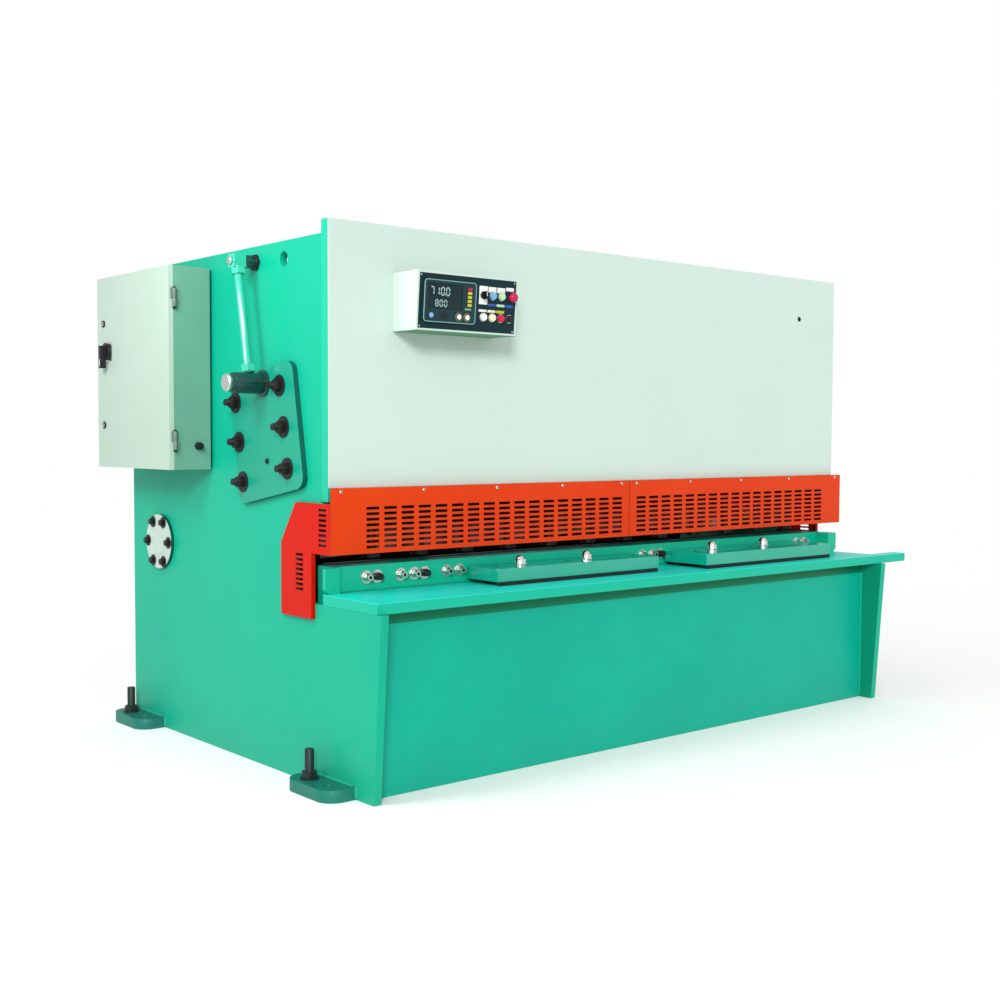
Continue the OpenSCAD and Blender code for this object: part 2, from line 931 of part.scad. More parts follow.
module cylinder_plates() {
    color(frame_col)
        both_ends()
            translate([0, cyl_y, cyl_z])
                rotate([-cyl_lean, 0, 0])
                    along_x(-half_w - plate_t, plate_t)
                        round_rect(-plate_front, -plate_low, plate_rear, plate_up, plate_r);
}

module main_cylinders() {
    bore_l = rod_in + 5;
    color(frame_col)
        both_ends()
            translate([-inner_x, cyl_y, cyl_z])
                rotate([-cyl_lean, 0, 0]) {
                    translate([0, -bracket_w / 2, -bracket_h / 4])
                        cube([cyl_gap + 4, bracket_w, bracket_h]);
                    difference() {
                        translate([cyl_in, 0, -cyl_low])
                            cylinder(d = cyl_d, h = cyl_l);
                        translate([cyl_in, 0, -cyl_low - over])
                            cylinder(d = rod_d + 2 * seat, h = bore_l);
                    }
                }
}

// Piston rod, cut level where it stands on the web
module cylinder_rods() {
    rod_x = -inner_x + cyl_in;
    reach = cyl_up - web_up;
    color(steel_col)
        both_ends()
            difference() {
                translate([rod_x, cyl_y, cyl_z])
                    rotate([-cyl_lean, 0, 0])
                        translate([0, 0, -cyl_low - reach])
                            cylinder(d = rod_d, h = rod_in + reach);
                translate([rod_x - rod_d, cyl_y - 3 * rod_d, web_z + web_t - reach])
                    cube([2 * rod_d, 6 * rod_d, reach]);
            }
}

// Pipe from the elbow at the top down to the union, with its stub to the side plate
module oil_pipe() {
    dy = union_y - pipe_top_y;
    dz = union_z - pipe_top_z;
    run = sqrt(dy * dy + dz * dz);
    lean = atan(dy / dz);
    pipe_l = run - union_d / 2;
    translate([-half_w - pipe_out, pipe_top_y, pipe_top_z]) {
        rotate([180 - lean, 0, 0]) {
            cylinder(d = pipe_d, h = pipe_l);
            for (u = [elbow_w / 2, pipe_l - nut_h - nut_off])
                translate([0, 0, u])
                    cylinder(d = nut_w, h = nut_h, $fn = 6);
        }
        translate([-elbow_w / 2, -elbow_w / 2, -elbow_w / 2])
            cube(elbow_w);
        rotate([0, 90, 0])
            cylinder(d = pipe_d, h = pipe_out);
    }
}

module oil_pipes() {
    color(steel_col)
        both_ends()
            oil_pipe();
}

// Union block of each pipe on its cylinder plate
module pipe_unions() {
    color(frame_col)
        both_ends()
            translate([-half_w - plate_t, union_y, union_z])
                rotate([0, -90, 0]) {
                    cylinder(d = union_d, h = union_l - neck_l);
                    translate([0, 0, union_l - neck_l])
                        cylinder(d = neck_d, h = neck_l);
                }
}

// Places a piece at each hold-down
module each_hold_down() {
    for (k = [0 : hold_n - 1])
        translate([-inner_x + hold_in + k * hold_pitch, hold_y, 0])
            children();
}

// Beam between the side plates that carries the hold-down cylinders
module hold_down_beam() {
    color(frame_col)
        difference() {
            translate([-inner_x, hold_y - hold_beam_w / 2, hold_z])
                cube([2 * inner_x, hold_beam_w, hold_beam_t]);
            each_hold_down()
                translate([0, 0, hold_z - over])
                    cylinder(d = hold_neck_d, h = hold_beam_t + 2 * over);
        }
}

module hold_down_cylinders() {
    color(steel_col)
        each_hold_down()
            difference() {
                union() {
                    translate([0, 0, hold_z - hold_drop])
                        cylinder(d = hold_d, h = hold_drop);
                    translate([0, 0, hold_z - over])
                        cylinder(d = hold_neck_d - 2 * seat, h = hold_beam_t + hold_stand);
                }
                translate([0, 0, hold_z - hold_drop - over])
                    cylinder(d = hold_rod_d + 2 * seat, h = hold_drop + hold_rod_d);
            }
}

module hold_down_feet() {
    foot_z = cut_z + hold_open;
    color(steel_col)
        each_hold_down() {
            translate([0, 0, foot_z])
                cylinder(d = hold_foot_d, h = hold_foot_t);
            translate([0, 0, foot_z + hold_foot_t - over])
                cylinder(d = hold_rod_d, h = hold_z + hold_rod_d - foot_z - hold_foot_t);
        }
}

// Flat cover sheet with its edges folded back
module front_cover() {
    fold_x = bar_w + bar_clear;
    h = cover_z1 - cover_z0;
    color(pale_col)
        translate([-half_w, cover_y, cover_z0]) {
            cube([frame_w, sheet_t, h]);
            for (z = [0, h - sheet_t])
                translate([fold_x, 0, z])
                    cube([frame_w - 2 * fold_x, cover_fold, sheet_t]);
            for (x = [fold_x, frame_w - fold_x - sheet_t])
                translate([x, 0, 0])
                    cube([sheet_t, cover_fold, h]);
        }
}

module cover_edge_bars() {
    color(frame_col)
        both_ends()
            translate([-half_w, cover_y + sheet_t, bar_z0])
                cube([bar_w, brow_y - cover_y - sheet_t, cover_z1 - bar_z0]);
}

// Angle between the side plates that the cover hangs on
module front_top_rail() {
    y0 = cover_y + cover_fold;
    z1 = side_h - rail_down;
    color(frame_col)
        along_x(-inner_x, 2 * inner_x)
            polygon([
                [y0, z1 - rail_h], [y0, z1], [y0 + rail_w, z1], [y0 + rail_w, z1 - rail_t],
                [y0 + rail_t, z1 - rail_t], [y0 + rail_t, z1 - rail_h]
            ]);
}

// Slots of one panel: columns counted from the middle of the machine
module guard_slots() {
    for (c = [0 : slot_cols - 1], r = [0 : slot_rows - 1])
        translate([
            slot_first + c * slot_pitch - slot_w / 2, guard_y - over,
            guard_z0 + slot_low + r * slot_step
        ])
            cube([slot_w, sheet_t + 2 * over, slot_h]);
}

module guard_panel() {
    fold_w = inner_x - bar_clear - panel_gap;
    color(guard_col)
        difference() {
            union() {
                translate([panel_gap, guard_y, guard_z0])
                    cube([half_w + guard_over - panel_gap, sheet_t, guard_h]);
                translate([panel_gap, guard_y, guard_z0])
                    cube([fold_w, guard_fold, sheet_t]);
                translate([panel_gap, guard_y, guard_z0 + guard_h - sheet_t])
                    cube([fold_w, cover_y + cover_fold - guard_y, sheet_t]);
            }
            guard_slots();
        }
}

module guard_panel_left() {
    mirror([1, 0, 0])
        guard_panel();
}

module guard_panel_right() {
    guard_panel();
}

// Outline of a side piece of the guard, drawn in by t all round
module guard_side_outline(t) {
    polygon([
        [guard_y + sheet_t + t, guard_z0 + side_up - t],
        [side_top_y - t / 2, guard_z0 + side_up - t],
        [side_rear_y - t, guard_z0 + side_rear_up - t / 2],
        [side_rear_y - t, guard_z0 - side_drop + t],
        [side_low_y + t, guard_z0 - side_drop + t],
        [side_low_y + t, guard_z0 + t],
        [guard_y + sheet_t + t, guard_z0 + t]
    ]);
}

// Side piece of the guard, a pan flat on the side plate with two columns of slots
module guard_sides() {
    x0 = -half_w - guard_over;
    color(guard_col)
        both_ends()
            difference() {
                along_x(x0, guard_over)
                    guard_side_outline(0);
                along_x(x0 + sheet_t, guard_over)
                    guard_side_outline(sheet_t);
                for (k = [0, 1], r = [0 : slot_rows - 1])
                    translate([
                        x0 - over, side_slot_y[k],
                        guard_z0 + side_slot_up[k] + r * side_slot_step
                    ])
                        cube([sheet_t + 2 * over, side_slot_w, side_slot_h]);
            }
}

// Frame of the control face: local x along the box, y up the leaning face, z out of it
module on_face() {
    translate([box_x, cover_y - box_low_d, box_z])
        rotate([90 + box_lean, 0, 0])
            children();
}

module control_box() {
    color(pale_col)
        difference() {
            along_x(box_x, box_w)
                polygon([
                    [cover_y - box_low_d, box_z], [cover_y, box_z], [cover_y, box_z + box_h],
                    [cover_y - box_top_d, box_z + box_h]
                ]);
            on_face() {
                translate([box_rim, box_rim, -panel_t - panel_in])
                    cube([box_w - 2 * box_rim, box_h - 2 * box_rim, box_top_d]);
                for (x = [button_x[0], button_x[3]])
                    translate([x, button_z[1], -stem_bore])
                        cylinder(r = stem_bore_r, h = stem_bore);
            }
        }
}

module control_panel() {
    gap = box_rim + panel_fit;
    color(dark_col)
        on_face()
            difference() {
                translate([gap, gap, -panel_t - panel_in])
                    cube([box_w - 2 * gap, box_h - 2 * gap, panel_t]);
                translate([button_x[0], button_z[1], -panel_t - panel_in - over])
                    cylinder(r = knob_stem_r + pin_clear, h = panel_t + 2 * over);
                translate([button_x[3], button_z[1], -panel_t - panel_in - over])
                    cylinder(r = stop_stem_r + pin_clear, h = panel_t + 2 * over);
            }
}

// Controller with a rounded outline, a sunk window, small keys and round keys
module controller() {
    color(dark_col)
        on_face() {
            difference() {
                translate([0, 0, -panel_in])
                    linear_extrude(ctl_out + panel_in)
                        round_rect(ctl_x[0], ctl_z[0], ctl_x[1], ctl_z[1], ctl_r);
                translate([window_x[0], window_z[0], ctl_out - window_h])
                    cube([window_x[1] - window_x[0], window_z[1] - window_z[0], ctl_out]);
            }
            for (k = [0 : 4])
                translate([key_x - key_size[0] / 2, key_z + k * key_step - key_size[1] / 2, 0])
                    cube([key_size[0], key_size[1], ctl_out + 2]);
            for (x = round_x)
                translate([x, round_z, 0])
                    cylinder(d = round_d, h = ctl_out + 3);
        }
}

module push_buttons() {
    places = [
        [button_x[0], button_z[0]], [button_x[1], button_z[0]], [button_x[2], button_z[0]],
        [button_x[3], button_z[0]], [button_x[1], button_z[1]], [button_x[2], button_z[1]]
    ];
    color(steel_col)
        on_face()
            for (p = places)
                translate([p[0], p[1], -panel_in]) {
                    cylinder(d = button_d + 2 * button_collar, h = panel_in + panel_t);
                    cylinder(d = button_d, h = button_out + panel_in);
                }
}

// Rotary selector on its round stem
module selector_knob() {
    disc_t = 8;
    grip_w = 8;
    grip_l = button_d + 4;
    color(dark_col)
        on_face()
            translate([button_x[0], button_z[1], 0]) {
                translate([0, 0, -panel_t - panel_in])
                    cylinder(r = knob_stem_r, h = panel_t + panel_in + over);
                cylinder(d = grip_l, h = disc_t);
                translate([-grip_w / 2, -grip_l / 2, disc_t - over])
                    cube([grip_w, grip_l, grip_w + 4]);
            }
}

// Mushroom button with its stem
module emergency_stop() {
    neck = 14;
    color(guard_col)
        on_face()
            translate([button_x[3], button_z[1], 0]) {
                translate([0, 0, -panel_t - panel_in])
                    cylinder(r = stop_stem_r, h = panel_t + panel_in + neck + 4);
                translate([0, 0, neck])
                    rotate_extrude()
                        polygon([
                            [0, 0], [stop_r * 0.8, 0], [stop_r, 4], [stop_r, 10],
                            [stop_r * 0.8, 15], [stop_r / 2, 18], [0, 19]
                        ]);
            }
}

// Body half of a hinge: the pin and the lower knuckle with its leaf
module hinge_body() {
    leaf = knuckle_d - 2;
    cylinder(d = hinge_pin_d, h = hinge_l);
    cylinder(d = knuckle_d, h = hinge_l / 2 - seat);
    translate([0, -2, 0])
        cube([leaf, knuckle_d, hinge_l / 2 - seat]);
}

// Switch cabinet: an open shell with a rim round its door opening
module cabinet_body() {
    rail_z = [cab_z + cab_rail_in, cab_z + cab_h - cab_rail_in - cab_rail_h];
    color(pale_col)
        difference() {
            union() {
                translate([cab_x, cab_y, cab_z])
                    cube([cab_d, cab_w, cab_h]);
                for (z = rail_z)
                    translate([-half_w - cab_off - over, cab_y + cab_rail_in, z])
                        cube([cab_off + over, cab_w - 2 * cab_rail_in, cab_rail_h]);
                for (u = hinge_up)
                    translate([cab_x, hinge_y, cab_z + u - hinge_l / 2])
                        hinge_body();
            }
            translate([cab_x + cab_t, cab_y + cab_t, cab_z + cab_t])
                cube([cab_d - 2 * cab_t, cab_w - 2 * cab_t, cab_h - 2 * cab_t]);
            translate([cab_x - over, cab_y + cab_rim, cab_z + cab_rim])
                cube([cab_t + 2 * over, cab_w - 2 * cab_rim, cab_h - 2 * cab_rim]);
        }
}

// Door pan with folded edges, and its halves of the hinges
module cabinet_door() {
    knuckle_l = hinge_l / 2 + 4;
    leaf = knuckle_d - 2;
    color(pale_col)
        difference() {
            union() {
                difference() {
                    translate([face_x, cab_y, cab_z])
                        cube([door_t, cab_w, cab_h]);
                    translate([face_x + cab_t, cab_y + cab_t, cab_z + cab_t])
                        cube([door_t, cab_w - 2 * cab_t, cab_h - 2 * cab_t]);
                }
                for (u = hinge_up)
                    translate([cab_x, hinge_y, cab_z + u + seat]) {
                        cylinder(d = knuckle_d, h = knuckle_l);
                        translate([-leaf - over, -2, 0])
                            cube([leaf, hinge_out + 3, knuckle_l]);
                    }
            }
            for (u = hinge_up)
                translate([cab_x, hinge_y, cab_z + u - over])
                    cylinder(r = hinge_pin_d / 2 + pin_clear, h = hinge_l / 2 + 1.5 * over);
            translate([face_x - over, switch_y, switch_z])
                rotate([0, 90, 0])
                    cylinder(r = spindle_r + pin_clear, h = cab_t + 2 * over);
            for (u = lock_up)
                translate([face_x - over, cab_y + cab_w - lock_in, cab_z + u])
                    rotate([0, 90, 0])
                        cylinder(d = lock_d + 2 * seat, h = cab_t + 2 * over);
        }
}

module door_locks() {
    flange_h = 5;
    color(dark_col)
        for (u = lock_up)
            translate([face_x - flange_h, cab_y + cab_w - lock_in, cab_z + u])
                rotate([0, 90, 0]) {
                    cylinder(d = lock_d + 8, h = flange_h);
                    translate([0, 0, flange_h - over])
                        cylinder(d = lock_d, h = door_t - 2);
                }
}

// Rotary handle of the main switch, turning on its spindle in the door
module main_switch() {
    base_h = 12;
    tail = switch_d / 2 - 10;
    color(dark_col)
        translate([face_x, switch_y, switch_z])
            rotate([0, -90, 0]) {
                translate([0, 0, -base_h])
                    cylinder(r = spindle_r, h = base_h + 2);
                translate([0, 0, 0.5])
                    cylinder(d = switch_d, h = base_h);
                translate([-handle_l, -handle_w / 2, base_h])
                    cube([handle_l + tail, handle_w, handle_w + 4]);
            }
}

module cabinet_gland() {
    color(dark_col)
        translate([cab_x + gland_in, cab_y, cab_z + gland_up])
            rotate([90, 0, 0]) {
                cylinder(d = gland_d + 8, h = gland_d / 2 - 1, $fn = 6);
                cylinder(d = gland_d, h = gland_d);
            }
}

module oil_tank() {
    color(frame_col)
        translate([-inner_x, tank_y0, tank_z0])
            cube([2 * inner_x, tank_y1 - tank_y0, tank_h]);
}

// Upright pump motor on the tank, with its flange, fan cowl and terminal box
module pump_motor() {
    color(frame_col)
        translate([-half_w + motor_in, (tank_y0 + tank_y1) / 2, tank_z0 + tank_h]) {
            cylinder(d = motor_d + 50, h = flange_t);
            translate([0, 0, flange_t - over])
                cylinder(d = motor_d, h = motor_h - cowl_h - flange_t + 2 * over);
            translate([0, 0, motor_h - cowl_h])
                cylinder(d = motor_d + 12, h = cowl_h);
            translate([-terminal_w / 2, -motor_d / 2 - terminal_w / 2, terminal_w])
                cube(terminal_w);
        }
}

module back_gauge_bar() {
    x1 = inner_x - gauge_bar_in;
    color(frame_col)
        difference() {
            translate([-x1, gauge_bar_y, gauge_z - gauge_bar_low])
                cube([2 * x1, gauge_bar_t, gauge_bar_h]);
            for (x = gauge_x, u = [-gauge_half, gauge_half])
                translate([x + u, gauge_bar_y - over, gauge_z])
                    rotate([-90, 0, 0])
                        cylinder(d = gauge_d + 2 * seat, h = gauge_bar_t + 2 * over);
        }
}

// Guide shafts of the back gauge in brackets under the web
module back_gauge_rails() {
    bracket_h = gauge_down + gauge_low;
    color(steel_col)
        for (x = gauge_x)
            translate([x, beam_rear, 0]) {
                translate([-gauge_bracket_w / 2, 0, web_z - bracket_h])
                    cube([gauge_bracket_w, gauge_bracket_t, bracket_h]);
                for (u = [-gauge_half, gauge_half])
                    translate([u, gauge_bracket_t - over, gauge_z])
                        rotate([-90, 0, 0])
                            cylinder(d = gauge_d, h = gauge_l);
            }
}

// Sloping sheet that carries the cut pieces to the rear
module rear_chute() {
    y0 = shear_y + sheet_t;
    color(frame_col)
        along_x(-inner_x, 2 * inner_x)
            polygon([
                [y0, chute_z0], [chute_y1, chute_z1], [chute_y1, chute_z1 - chute_t],
                [y0, chute_z0 - chute_t]
            ]);
}

module rear_cross_beam() {
    color(frame_col)
        translate([-inner_x, rear_y - cross_in - cross_t, cross_z])
            cube([2 * inner_x, cross_t, cross_h]);
}

side_plate_left();
side_plate_right();
foot_lugs();
levelling_screws();
bed_front_plate();
bed_ribs();
table_plate();
lower_knife_beam();
beam_end_blocks();
lower_blade();
table_block_left();
table_block_right();
ball_units();
swing_beam_face();
swing_beam_web();
swing_arms();
upper_blade();
pivot_pins();
pivot_caps();
cylinder_plates();
main_cylinders();
cylinder_rods();
oil_pipes();
pipe_unions();
hold_down_beam();
hold_down_cylinders();
hold_down_feet();
front_cover();
cover_edge_bars();
front_top_rail();
guard_panel_left();
guard_panel_right();
guard_sides();
control_box();
control_panel();
controller();
push_buttons();
selector_knob();
emergency_stop();
cabinet_body();
cabinet_door();
door_locks();
main_switch();
cabinet_gland();
oil_tank();
pump_motor();
back_gauge_bar();
back_gauge_rails();
rear_chute();
rear_cross_beam();
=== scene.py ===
"""Looks of a hydraulic swing beam shear: paint, fasteners, welds, controls and the studio round them."""
import math

import bpy
import numpy as np
from mathutils import Matrix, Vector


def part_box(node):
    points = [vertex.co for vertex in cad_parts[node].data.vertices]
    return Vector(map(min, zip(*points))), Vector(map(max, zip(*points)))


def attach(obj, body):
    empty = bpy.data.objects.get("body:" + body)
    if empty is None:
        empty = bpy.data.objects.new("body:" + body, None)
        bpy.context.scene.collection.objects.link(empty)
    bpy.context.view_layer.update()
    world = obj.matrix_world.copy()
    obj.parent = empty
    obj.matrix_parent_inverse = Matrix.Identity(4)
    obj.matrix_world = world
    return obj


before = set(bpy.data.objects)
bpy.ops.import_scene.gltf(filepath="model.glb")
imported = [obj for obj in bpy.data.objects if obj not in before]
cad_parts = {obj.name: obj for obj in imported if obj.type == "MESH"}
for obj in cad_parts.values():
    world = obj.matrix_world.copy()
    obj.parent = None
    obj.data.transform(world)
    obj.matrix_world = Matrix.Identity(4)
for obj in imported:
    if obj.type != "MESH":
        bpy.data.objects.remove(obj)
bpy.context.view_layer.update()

bl_info = {
    "name": "Swing beam shear dressing",
    "version": (1, 1, 0),
    "blender": (4, 5, 0),
    "location": "View3D > Sidebar > Shear",
    "description": "Paints the shear and adds its fasteners, welds and controls",
    "category": "Object",
}


def span(node):
    """Lowest and highest corner of a CAD node, as arrays in metres."""
    lo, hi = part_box(node)
    return np.array(lo), np.array(hi)


# Places read from the frame, in metres
INNER_X, HALF_W = (corner[0] for corner in span("side_plate_right"))
TABLE_LO, TABLE_HI = span("table_plate")
BEAM_LO, BEAM_HI = span("lower_knife_beam")
BEAM_FACE = span("swing_beam_face")
BED_LO, BED_HI = span("bed_front_plate")
GUARD_LO, GUARD_HI = span("guard_panel_left")
COVER_LO = span("front_cover")[0]
LEFT_BLOCK = span("table_block_left")
RIGHT_BLOCK = span("table_block_right")
PLATES = span("cylinder_plates")
CAPS = span("pivot_caps")
PIVOT_Y, PIVOT_Z = (CAPS[0] + CAPS[1])[1:] / 2
UNIONS = span("pipe_unions")
UNION_Y, UNION_Z = (UNIONS[0] + UNIONS[1])[1:] / 2
PIPES = span("oil_pipes")
LUGS = span("foot_lugs")
SCREWS = span("levelling_screws")
DOOR = span("cabinet_door")
CABINET = span("cabinet_body")
LOCKS = span("door_locks")
SWITCH = span("main_switch")
BOX_LO, BOX_HI = span("control_box")
TANK = span("oil_tank")
MOTOR = span("pump_motor")
GAUGE = span("back_gauge_rails")
GAUGE_BAR = span("back_gauge_bar")
LOWER_BLADE = span("lower_blade")
UPPER_BLADE = span("upper_blade")

# Sizes that the boxes of the frame don't give, in metres
RUNNER_SHADE_H = 0.0145          # height of the painted shadow on the runners under the table blocks
LIP_SHADE = 0.044          # painted shadow band under the table's lip
HINGE_EDGE = 0.1775        # where the front of the cabinet and its door turns to their hinge side
CYL_Y, CYL_Z = -0.191, 1.131    # middle of the bolt pattern on a cylinder plate
CYL_LEAN = math.radians(10)
BOX_LOW_D = 0.125          # how far the lower edge of the leaning control face stands before the cover
FACE_TURN = math.pi / 2 + math.atan((COVER_LO[1] - BOX_LO[1] - BOX_LOW_D) / (BOX_HI[2] - BOX_LO[2]))
FACE_AXIS = (0, -math.sin(FACE_TURN), math.cos(FACE_TURN))
FACE_H = 0.190             # height of the control face along its slope
BUTTON_U = (0.272, 0.310, 0.348, 0.386)    # columns of buttons along the control face
BUTTON_V = (0.056, 0.128)                  # and rows of them up the face

# Ways that small parts face
LEFT, FRONT, BACK, UP = (-1, 0, 0), (0, -1, 0), (0, 1, 0), (0, 0, 1)

# Patterns of the finishes, in repeats to a metre of Object coordinates
CLOUDS = 2.4               # paint film grows thicker and thinner over about 420 mm
DUST_STREAKS = 11.0        # dust lies in streaks about 90 mm wide
DUST_TOP = 0.22            # and is gone this far above the floor, in metres
DUST = "#4A6A5C"           # grey-green of it on teal
TINT_CLOUDS = 30.0         # the colour of a moulding drifts over about 33 mm
OIL_PATCHES = 90.0         # oxide is thin in patches about 11 mm wide
LONG_GRAIN = 6.0           # tool lines run on for about 170 mm
FLOOR_MOTTLE = 0.8         # mottle of the floor, about 1.25 m wide
PAINT_IOR, PLASTIC_IOR = 1.5, 1.53

# Sockets of a Mix node that mixes colours
AMOUNT, FIRST, SECOND, MIXED = 0, 6, 7, 2


# Colours and materials

def hex_linear(code):
    """sRGB hex to linear RGBA: c/12.92 below 0.04045, else ((c + 0.055)/1.055)^2.4."""
    c = np.array([int(code[i:i + 2], 16) for i in (1, 3, 5)]) / 255
    lin = np.where(c <= 0.04045, c / 12.92, ((c + 0.055) / 1.055) ** 2.4)
    return (*lin.tolist(), 1.0)


def add_node(tree, kind, inputs=None, **settings):
    """Adds one node, sets its properties, and fills or links its inputs by name or number."""
    n = tree.nodes.new(kind)
    for key, value in settings.items():
        setattr(n, key, value)
    for key, value in (inputs or {}).items():
        if isinstance(value, bpy.types.NodeSocket):
            tree.links.new(value, n.inputs[key])
        else:
            n.inputs[key].default_value = value
    return n


def new_material(name):
    """An empty node material with its output node and Object coordinates."""
    mat = bpy.data.materials.new(name)
    mat.use_nodes = True
    tree = mat.node_tree
    tree.nodes.clear()
    out = add_node(tree, "ShaderNodeOutputMaterial")
    coords = add_node(tree, "ShaderNodeTexCoord").outputs["Object"]
    return mat, tree, out, coords


def between(tree, at, axis, low, high):
    """One where the coordinate lies between low and high, else nought; x counts from the middle plane."""
    value = add_node(tree, "ShaderNodeSeparateXYZ", {0: at}).outputs[axis]
    if axis == "X":
        value = add_node(tree, "ShaderNodeMath", {0: value}, operation="ABSOLUTE").outputs["Value"]
    above = add_node(tree, "ShaderNodeMath", {0: value, 1: low}, operation="GREATER_THAN")
    below = add_node(tree, "ShaderNodeMath", {0: value, 1: high}, operation="LESS_THAN")
    both = add_node(tree, "ShaderNodeMath", {
        0: above.outputs["Value"], 1: below.outputs["Value"]}, operation="MULTIPLY")
    return both.outputs["Value"]


def sprayed_enamel(name, code, shade, rough, peel_mm=5.0, dust=0.0, level=0.25, painted_shade=None):
    """Two-pack enamel sprayed on steel plate: even colour, a faint orange peel, soft highlights.

    The cloud is the slow change of film thickness over half a metre, and dust settles near the floor.
    The peel is drawn at 3 to 5 mm, coarser than the real 1 to 2 mm, so that it shows at all.
    The stretch given as (axis, low, high, colour) along one axis is painted in that darker colour as painted
    shade:
    the inner faces, cut edges, undersides and slots where shade falls.
    """
    mat, tree, out, at = new_material(name)
    cloud = add_node(tree, "ShaderNodeTexNoise", {
        "Vector": at, "Scale": CLOUDS, "Detail": 3.0, "Roughness": 0.55}).outputs["Fac"]
    peel = add_node(tree, "ShaderNodeTexNoise", {"Vector": at, "Scale": 1000 / peel_mm, "Detail": 2.0})
    film = add_node(tree, "ShaderNodeMapRange", {"Value": cloud, "From Min": 0.3, "From Max": 0.7})
    colour = add_node(tree, "ShaderNodeMix", {
        AMOUNT: film.outputs["Result"], FIRST: hex_linear(code), SECOND: hex_linear(shade)},
        data_type="RGBA").outputs[MIXED]
    if dust:
        height = add_node(tree, "ShaderNodeSeparateXYZ", {0: at}).outputs["Z"]
        fade = add_node(tree, "ShaderNodeMapRange", {
            "Value": height, "From Min": 0.0, "From Max": DUST_TOP, "To Min": dust, "To Max": 0.0})
        streak = add_node(tree, "ShaderNodeTexNoise", {"Vector": at, "Scale": DUST_STREAKS, "Detail": 5.0})
        amount = add_node(tree, "ShaderNodeMath", {
            0: fade.outputs["Result"], 1: streak.outputs["Fac"]}, operation="MULTIPLY")
        colour = add_node(tree, "ShaderNodeMix", {
            AMOUNT: amount.outputs["Value"], FIRST: colour, SECOND: hex_linear(DUST)},
            data_type="RGBA").outputs[MIXED]
    # Painted shade: the given stretch along one axis takes the darker colour
    if painted_shade:
        axis, low, high, shade_colour = painted_shade
        colour = add_node(tree, "ShaderNodeMix", {
            AMOUNT: between(tree, at, axis, low, high), FIRST: colour, SECOND: hex_linear(shade_colour)},
            data_type="RGBA").outputs[MIXED]
    gloss = add_node(tree, "ShaderNodeMapRange", {
        "Value": cloud, "From Min": 0.3, "From Max": 0.7, "To Min": rough - 0.04, "To Max": rough + 0.05})
    bump = add_node(tree, "ShaderNodeBump", {
        "Height": peel.outputs["Fac"], "Strength": 0.10, "Distance": 0.0006})
    skin = add_node(tree, "ShaderNodeBsdfPrincipled", {
        "Base Color": colour, "Roughness": gloss.outputs["Result"], "Normal": bump.outputs["Normal"],
        "IOR": PAINT_IOR, "Specular IOR Level": level})
    tree.links.new(skin.outputs["BSDF"], out.inputs["Surface"])
    return mat


def worked_steel(name, code, rough, line_mm, along, bright="#8C9194"):
    """Ground or turned steel: fine tool lines run one way, so the pattern is stretched along them.

    The lines are drawn about 1 mm apart, coarser than real tool marks, so that they show at all.
    """
    mat, tree, out, at = new_material(name)
    stretch = [1000 / line_mm] * 3
    stretch[along] = LONG_GRAIN
    lines = add_node(tree, "ShaderNodeMapping", {"Vector": at, "Scale": stretch})
    grain = add_node(tree, "ShaderNodeTexNoise", {
        "Vector": lines.outputs["Vector"], "Scale": 1.0, "Detail": 3.0})
    tone = add_node(tree, "ShaderNodeMix", {
        AMOUNT: grain.outputs["Fac"], FIRST: hex_linear(code), SECOND: hex_linear(bright)},
        data_type="RGBA").outputs[MIXED]
    gloss = add_node(tree, "ShaderNodeMapRange", {
        "Value": grain.outputs["Fac"], "To Min": rough - 0.08, "To Max": rough + 0.1})
    bump = add_node(tree, "ShaderNodeBump", {
        "Height": grain.outputs["Fac"], "Strength": 0.15, "Distance": 0.0003})
    skin = add_node(tree, "ShaderNodeBsdfPrincipled", {
        "Base Color": tone, "Metallic": 1.0, "Roughness": gloss.outputs["Result"],
        "Normal": bump.outputs["Normal"]})
    tree.links.new(skin.outputs["BSDF"], out.inputs["Surface"])
    return mat


def moulded_plastic(name, code, rough, grain_mm=0.8, level=0.35):
    """Injection-moulded ABS: one colour through, a fine spark-eroded grain that breaks the highlight."""
    mat, tree, out, at = new_material(name)
    grain = add_node(tree, "ShaderNodeTexNoise", {"Vector": at, "Scale": 1000 / grain_mm, "Detail": 1.0})
    tint = add_node(tree, "ShaderNodeTexNoise", {"Vector": at, "Scale": TINT_CLOUDS, "Detail": 2.0})
    dark = tuple(v * 0.86 for v in hex_linear(code)[:3]) + (1.0,)
    tone = add_node(tree, "ShaderNodeMix", {
        AMOUNT: tint.outputs["Fac"], FIRST: hex_linear(code), SECOND: dark},
        data_type="RGBA").outputs[MIXED]
    bump = add_node(tree, "ShaderNodeBump", {
        "Height": grain.outputs["Fac"], "Strength": 0.12, "Distance": 0.0001})
    skin = add_node(tree, "ShaderNodeBsdfPrincipled", {
        "Base Color": tone, "Roughness": rough, "Normal": bump.outputs["Normal"], "IOR": PLASTIC_IOR,
        "Specular IOR Level": level})
    tree.links.new(skin.outputs["BSDF"], out.inputs["Surface"])
    return mat


def black_oxide(name, code="#15171B", thin="#2B2724"):
    """Hot black oxide on steel: blue-black, slightly oily, brown where it is thin."""
    mat, tree, out, at = new_material(name)
    patch = add_node(tree, "ShaderNodeTexNoise", {"Vector": at, "Scale": OIL_PATCHES, "Detail": 4.0})
    tone = add_node(tree, "ShaderNodeMix", {
        AMOUNT: patch.outputs["Fac"], FIRST: hex_linear(code), SECOND: hex_linear(thin)},
        data_type="RGBA").outputs[MIXED]
    gloss = add_node(tree, "ShaderNodeMapRange", {
        "Value": patch.outputs["Fac"], "To Min": 0.34, "To Max": 0.55})
    skin = add_node(tree, "ShaderNodeBsdfPrincipled", {
        "Base Color": tone, "Metallic": 0.35, "Roughness": gloss.outputs["Result"],
        "Specular IOR Level": 0.3})
    tree.links.new(skin.outputs["BSDF"], out.inputs["Surface"])
    return mat


